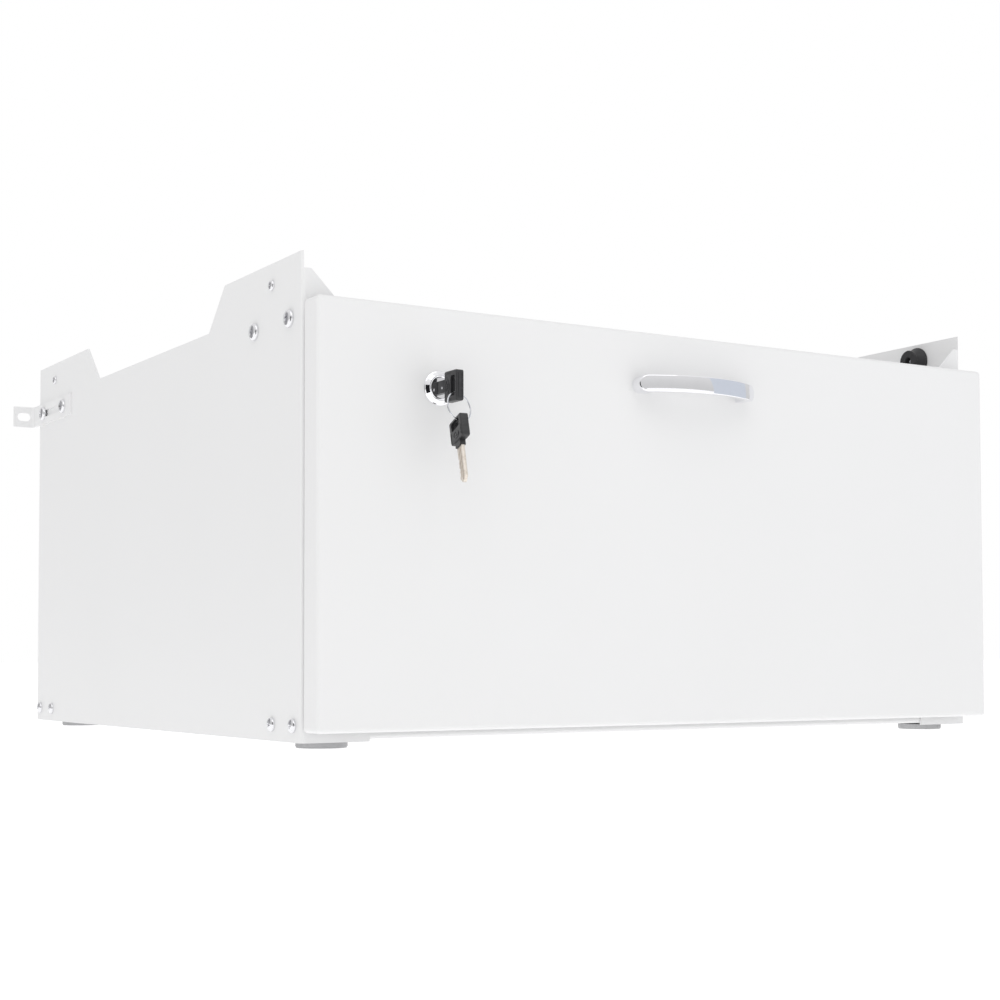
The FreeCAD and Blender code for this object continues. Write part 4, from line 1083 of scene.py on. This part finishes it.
class CABINET_OT_handle(Operator):
    """Make the polished bow handle"""
    bl_idname = "cabinet.handle"
    bl_label = "Handle"

    def execute(self, context):
        handle = context.scene.cabinet_handle
        low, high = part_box("bow_handle")
        end, half, reach = (high.x - low.x) / 2, (high.z - low.z) / 2, high.y - low.y
        rise = reach - handle.shoulder
        radius = (end ** 2 + rise ** 2) / (2 * rise)
        inside = end - handle.post

        def front(x):
            """Reach of the bow's front at x."""
            return reach - radius + math.sqrt(radius ** 2 - x ** 2)

        def back(x):
            """Reach of the band's underside at x, which curves down into the posts."""
            under = reach - radius + math.sqrt((radius - handle.thickness) ** 2 - min(abs(x), inside) ** 2)
            past = abs(x) - (inside - handle.fillet)
            if past > 0:
                under -= handle.fillet - math.sqrt(max(handle.fillet ** 2 - past ** 2, 0))
            return under

        cap = end - half
        xs = [cap * (1 - math.cos(math.pi * k / handle.stations)) - cap for k in range(handle.stations + 1)]
        fillets = [inside - handle.fillet * (1 - math.sin(math.radians(a))) for a in (15, 30, 45, 60, 75)]
        xs = [x for x in xs if not inside - handle.fillet - 0.4 * MM < abs(x) < inside + 0.4 * MM]
        ends = sorted(xs + [s * x for s in (-1, 1) for x in fillets + [inside, inside + 0.05 * MM]])
        ends = [(x, abs(x) > inside) for x in ends]
        steps = 24

        def ring(inset, at):
            """Points round the handle's outline, drawn in by inset; at gives the reach of each."""
            r = half - inset
            points = [(x, r, post) for x, post in ends]
            points += [(cap + r * math.sin(math.pi * k / steps), r * math.cos(math.pi * k / steps), True)
                       for k in range(1, steps)]
            points += [(x, -r, post) for x, post in reversed(ends)]
            points += [(-cap - r * math.sin(math.pi * k / steps), -r * math.cos(math.pi * k / steps), True)
                       for k in range(1, steps)]
            return [(x, at(x, post), z) for x, z, post in points]

        def floor_of(x, post):
            return 0.0 if post else back(x)

        edge, back_edge, crown = handle.edge, handle.back_edge, handle.crown
        rows = []
        for k in range(5):
            inset = edge + (half - edge) * (1 - k / 5)
            lift = crown * (1 - ((half - inset) / (half - edge)) ** 2) - crown
            rows.append(ring(inset, lambda x, post, lift=lift: front(x) + lift))
        for k in range(9):
            angle = math.pi / 2 * k / 8
            drop = crown + edge * (1 - math.cos(angle))
            rows.append(ring(edge * (1 - math.sin(angle)), lambda x, post, drop=drop: front(x) - drop))
        for k in range(1, 4):
            rows.append(ring(0, lambda x, post, k=k: (front(x) - crown - edge) * (1 - k / 4)
                             + (floor_of(x, post) + (0 if post else back_edge)) * k / 4))
        for k in range(6):
            angle = math.pi / 2 * k / 5
            rows.append(ring(back_edge * (1 - math.cos(angle)), lambda x, post, angle=angle: floor_of(x, post)
                             + (0 if post else back_edge * (1 - math.sin(angle)))))
        for k in range(1, 5):
            rows.append(ring(back_edge + (half - back_edge) * k / 4, floor_of))

        shape = bmesh.new()
        grid = [[shape.verts.new(point) for point in row] for row in rows]
        for near, far in zip(grid, grid[1:]):
            for k in range(len(near)):
                nxt = (k + 1) % len(near)
                shape.faces.new((near[k], near[nxt], far[nxt], far[k]))
        for row in (grid[0], grid[-1]):
            count = len(ends)
            for k in range(count - 1):
                opposite = count + steps - 1 + (count - 1 - k)
                shape.faces.new((row[k], row[k + 1], row[opposite - 1], row[opposite]))
            caps = row[count - 1:count + steps]
            shape.faces.new(caps)
            shape.faces.new(row[count + steps - 1 + count - 1:] + row[:1])
        middle = (low + high) / 2
        matrix = Matrix(((1, 0, 0, middle.x), (0, -1, 0, high.y), (0, 0, 1, middle.z), (0, 0, 0, 1)))
        piece = placed(made("handle_bow", shape), matrix)
        finished(tidied(piece, math.radians(40)), "drawer", "bright_chrome", "bow_handle")
        return {"FINISHED"}


class CABINET_OT_lock(Operator):
    """Make the lock's barrel with its bezel, and the plug with its key way"""
    bl_idname = "cabinet.lock"
    bl_label = "Lock"

    def execute(self, context):
        lock = context.scene.cabinet_lock
        low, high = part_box("lock_body")
        self.axis = Vector((LOCK_AXIS.x, FRONT_FACE, LOCK_AXIS.z))
        self.bezel = (high.z - low.z) / 2
        self.rise = FRONT_FACE - low.y
        self.depth = high.y - FRONT_FACE
        self.body(lock)
        self.plug(lock)
        return {"FINISHED"}

    def body(self, lock):
        """Bezel with a fine inner ring, a dark groove and a straight sloping flank; threaded barrel."""
        rise, bezel = self.rise, self.bezel
        outer = lock.seat + lock.ring
        profile = [(lock.bore, rise - lock.recess - lock.flank_foot), (lock.bore, rise - lock.ring)]
        profile += arc((lock.seat, rise - lock.ring), lock.ring, 165, 10, 8)
        profile += [(outer, rise - lock.groove_depth), (outer + lock.groove, rise - lock.groove_depth)]
        profile += [(lock.rim - 0.15 * MM, rise - 0.1 * MM), (lock.rim, rise - 0.15 * MM)]
        profile += [(lock.flank, lock.flank_foot), (lock.flank + 0.2 * MM, lock.flank_foot - 0.12 * MM)]
        profile += arc((bezel - 0.45 * MM, 0.55 * MM), 0.45 * MM, 75, 0, 5)
        profile += [(bezel, 0.15 * MM), (bezel - 0.15 * MM, 0), (lock.barrel, 0)]
        profile += threaded(lock.barrel, -0.2 * MM, -self.depth, lock.pitch, lock.thread)
        profile += [(lock.bore, -self.depth)]
        body = turned("lock_barrel", profile, along(self.axis, -Y), 128, CRISP)
        finished(body, "drawer", "bright_chrome", "lock_body")

    def plug(self, lock):
        """Polished plug: bevelled face, key way and square tail for the cam."""
        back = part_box("lock_plug")[1].y
        chamfer, depth = lock.face_chamfer, self.depth
        radius = lock.bore - 0.05 * MM
        face = self.rise - lock.recess
        profile = [(0, face), (radius - chamfer, face), (radius, face - chamfer), (radius, -depth),
                   (0, -depth)]
        plug = turned("plug", profile, along(self.axis, -Y), 96)
        half = (lock.way_width / 2, lock.way_height / 2)
        outline = rounded(box_outline((-half[0], -half[1]), half), 0.4 * MM)
        way = plate("key_way", [outline], 2 * lock.way_height + 4 * self.bezel, 0.01 * MM,
                    along(self.axis, -Y), 0)
        plug = combined(plug, [way], "DIFFERENCE")
        side = lock.tail / 2
        sunk = 1 * MM
        length = back - FRONT_FACE - depth + sunk
        middle = self.axis + Y * (depth - sunk + length / 2)
        outline = rounded(box_outline((-side, -side), (side, side)), 0.3 * MM)
        tail = plate("tail", [outline], length, 0.2 * MM, along(middle, Y))
        plug = combined(plug, [tail], "UNION")
        finished(plug, "lock_barrel", "bright_chrome", "lock_plug")


class CABINET_OT_keys(Operator):
    """Make the key, the spare key and the split ring"""
    bl_idname = "cabinet.keys"
    bl_label = "Keys and ring"

    # A key is drawn flat: u runs from the head to the tip, v across the blade, w through it.
    FLAT = Matrix(((0, 0, 1, 0), (1, 0, 0, 0), (0, 1, 0, 0), (0, 0, 0, 1)))

    def execute(self, context):
        keys = context.scene.cabinet_keys
        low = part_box("key_head")[0]
        first = Matrix.Translation((LOCK_AXIS.x, low.y + keys.head_length, LOCK_AXIS.z))
        turn = Matrix.Rotation(-keys.spare_turn, 4, "Z")
        turn = turn @ Matrix.Rotation(-math.pi / 2 - keys.spare_lean, 4, "X")
        room = keys.ring_wire + keys.ring_room
        held = Vector((0, -keys.head_length + keys.slot_strip + room,
                       -keys.head_drop - keys.slot_length / 2 + room + 2 * keys.ring_play))
        spare = Matrix.Translation(PIVOTS["spare_key_swing"] - turn @ held) @ turn
        places = (("key", first, keys.neck_length), ("spare_key", spare, keys.spare_neck))
        for body, matrix, neck in places:
            flat = matrix @ self.FLAT
            self.head(keys, body, flat, neck)
            self.blade(keys, body, flat, neck)
        self.pin(keys, first @ self.FLAT)
        self.ring(keys)
        return {"FINISHED"}

    def bar(self, low, high, corner, thickness, edge, matrix):
        """Rounded bar between two (u, v) corners, for adding to a head or cutting from it."""
        return plate("bar", [rounded(box_outline(low, high), corner)], thickness, edge, matrix)

    def head(self, keys, body, flat, neck):
        """Moulded head: ring slot in a recess, ribbed end, and an oval relief on both faces."""
        reach, side, thick = keys.head_length, keys.head_width / 2, keys.head_thickness
        drop, rim, rib = keys.head_drop, keys.recess_rim, keys.rib
        bottom, top = -drop - side, -drop + side
        near = -reach + keys.slot_strip
        far = near + keys.slot_width
        end = keys.slot_length / 2
        slot = rounded(box_outline((near, -drop - end), (far, -drop + end)), keys.slot_width * 0.45)
        outline = rounded(box_outline((-reach, bottom), (0, top)), keys.corner)
        head = plate(f"{body}_grip", [outline, slot], thick, keys.head_edge, flat)

        added = [self.bar((-2 * rim, -keys.neck_width / 2), (neck, keys.neck_width / 2), 0.6 * MM,
                          keys.neck_thickness, 0.4 * MM, flat)]
        middle = (far + rim) / 2
        oval = [(middle + 2.7 * MM * math.cos(a), -drop + 5.2 * MM * math.sin(a))
                for a in [math.tau * k / 40 for k in range(40)]]
        inner = [(middle + (u - middle) * 0.66, -drop + (v + drop) * 0.74) for u, v in oval]
        added.append(plate("relief", [oval, inner], thick + 2 * rib, 0.15 * MM, flat))
        added.append(plate("button", [[(middle + (u - middle) * 0.33, -drop + (v + drop) * 0.4)
                                       for u, v in oval]], thick + 2 * rib, 0.15 * MM, flat))
        for v in (bottom + 1.6 * MM, top - 1.6 * MM):
            added.append(self.bar((far + rim, v - keys.rib_width / 2), (-1.4 * MM, v + keys.rib_width / 2),
                                  keys.rib_width * 0.4, thick + 2 * rib, 0.15 * MM, flat))
        head = combined(head, added, "UNION")

        cuts = []
        for face in (-1, 1):
            shift = flat @ Matrix.Translation((0, 0, face * (thick / 2 + rim - keys.recess_depth / 2)))
            cuts.append(self.bar((near - rim, -drop - end - rim), (far + rim, -drop + end + rim),
                                 keys.slot_width * 0.45, keys.recess_depth + 2 * rim, 0.2 * MM, shift))
            grip = flat @ Matrix.Translation((0, 0, face * thick / 4.4))
            cuts.append(self.bar((-reach - rib, bottom + 2.4 * MM), (-reach + rib, top - 2.4 * MM),
                                 rib * 0.5, keys.rib_width, 0.12 * MM, grip))
        root = keys.blade_width / 2 * keys.blade_root + 0.02 * MM
        seat = plate("seat", [box_outline((-reach / 4, -root), (neck + 1 * MM, root))],
                     keys.blade_thickness + 0.04 * MM, 0.01 * MM, flat, 0)
        head = combined(head, cuts + [seat], "DIFFERENCE")
        finished(head, body, "black_plastic", f"{body}_head")

    def blade(self, keys, body, flat, neck):
        """Milled blade: cuts along one edge, a pointed tip and two long grooves in each face."""
        wide, thick = keys.blade_width / 2, keys.blade_thickness
        root = point = wide * keys.blade_root
        tip = keys.neck_length + keys.blade_length
        outline = [(-keys.head_length / 4, -root), (neck, -root), (neck, -wide), (tip - point, -wide),
                   (tip, -wide + point), (tip, wide - point), (tip - point, wide)]
        step = keys.blade_length / (len(keys.cuts) + 2)
        for k in range(len(keys.cuts), 0, -1):
            u, depth = keys.neck_length + step * k, keys.cuts[k - 1]
            outline += [(u + step / 2, wide), (u + step / 8, wide - depth), (u - step / 8, wide - depth),
                        (u - step / 2, wide)]
        outline += [(neck, wide), (neck, root), (-keys.head_length / 4, root)]
        blank = plate(f"{body}_bit", [outline], thick, 0.12 * MM, flat, 2)
        grooves = []
        for v, long, width in ((-1.5 * MM, 0.94, 1.1 * MM), (1.1 * MM, 0.80, 0.8 * MM)):
            ends = (neck + 1.2 * MM, keys.neck_length + keys.blade_length * long)
            for face in (-1, 1):
                shift = flat @ Matrix.Translation((0, 0, face * thick / 2))
                grooves.append(self.bar((ends[0], v - width / 2), (ends[1], v + width / 2),
                                        width * 0.45, keys.groove * 2, 0.1 * MM, shift))
        blank = combined(blank, grooves, "DIFFERENCE")
        finished(blank, body, "nickel_silver", f"{body}_blade")

    def pin(self, keys, flat):
        """Riveted pin through the first key's neck."""
        reach = keys.neck_thickness / 2
        profile = [(0, reach - 1.5 * MM), (keys.pin, reach - 1.5 * MM), (keys.pin, reach)]
        profile += arc((keys.pin - 0.3 * MM, reach), 0.3 * MM, 0, 90, 4) + [(0, reach + 0.35 * MM)]
        for face in (-1, 1):
            matrix = flat @ Matrix.Translation((keys.neck_length * 0.45, -keys.pin, 0))
            matrix = matrix @ (Matrix() if face > 0 else Matrix.Rotation(math.pi, 4, "X"))
            side = "right" if face > 0 else "left"
            finished(turned(f"key_pin_{side}", profile, matrix, 32), "key", "bright_screw")

    def ring(self, keys):
        """Split ring: two turns of flat spring wire side by side."""
        turns, steps, around = 2, 96, 12
        tall, wide = keys.ring_wire * 0.85, keys.ring_wire * 0.33
        shape = bmesh.new()
        rings = []
        for k in range(turns * steps + 1):
            turn = math.tau * k / steps
            shift = 4 * wide * (k / (turns * steps) - 0.5)
            section = []
            for t in range(around):
                angle = math.tau * t / around
                radius = keys.ring_radius + tall * math.cos(angle)
                section.append(shape.verts.new((radius * math.cos(turn), radius * math.sin(turn),
                                                shift + wide * math.sin(angle))))
            rings.append(section)
        for near, far in zip(rings, rings[1:]):
            for t in range(around):
                after = (t + 1) % around
                shape.faces.new((near[t], near[after], far[after], far[t]))
        shape.faces.new(rings[0])
        shape.faces.new(rings[-1])
        lean = Matrix.Rotation(-keys.ring_lean, 3, "X") @ Matrix.Rotation(keys.ring_turn, 3, "Z")
        matrix = along(centre("key_ring"), lean @ Y)
        finished(tidied(placed(made("split_ring", shape), matrix)), "ring", "bright_screw", "key_ring")


# --- Add-on ----------------------------------------------------------------------------------

SETTINGS = {
    "cabinet_stage": StageSettings,
    "cabinet_colours": ColourSettings,
    "cabinet_fasteners": FastenerSettings,
    "cabinet_handle": HandleSettings,
    "cabinet_lock": LockSettings,
    "cabinet_keys": KeySettings,
    "cabinet_rubber": RubberSettings,
}
STEPS = [CABINET_OT_stage, CABINET_OT_finishes, CABINET_OT_fasteners, CABINET_OT_rubber, CABINET_OT_handle,
         CABINET_OT_lock, CABINET_OT_keys]


class CABINET_PT_panel(Panel):
    """Lists the steps and the settings"""
    bl_idname = "CABINET_PT_panel"
    bl_label = "Parcel Drawer Cabinet"
    bl_space_type = "VIEW_3D"
    bl_region_type = "UI"
    bl_category = "Cabinet"

    def draw(self, context):
        for step in STEPS:
            self.layout.operator(step.bl_idname)
        for name, group in SETTINGS.items():
            box = self.layout.box()
            box.label(text=group.__doc__)
            for value in group.__annotations__:
                box.prop(getattr(context.scene, name), value)


def register():
    for group in SETTINGS.values():
        bpy.utils.register_class(group)
    for step in STEPS:
        bpy.utils.register_class(step)
    bpy.utils.register_class(CABINET_PT_panel)
    for name, group in SETTINGS.items():
        setattr(bpy.types.Scene, name, PointerProperty(type=group))


def unregister():
    for name in SETTINGS:
        delattr(bpy.types.Scene, name)
    bpy.utils.unregister_class(CABINET_PT_panel)
    for known in reversed([*SETTINGS.values(), *STEPS]):
        bpy.utils.unregister_class(known)


def main():
    register()
    bpy.ops.cabinet.stage()
    bpy.ops.cabinet.finishes()
    bpy.ops.cabinet.fasteners()
    bpy.ops.cabinet.rubber()
    bpy.ops.cabinet.handle()
    bpy.ops.cabinet.lock()
    bpy.ops.cabinet.keys()


if __name__ == "__main__":
    main()
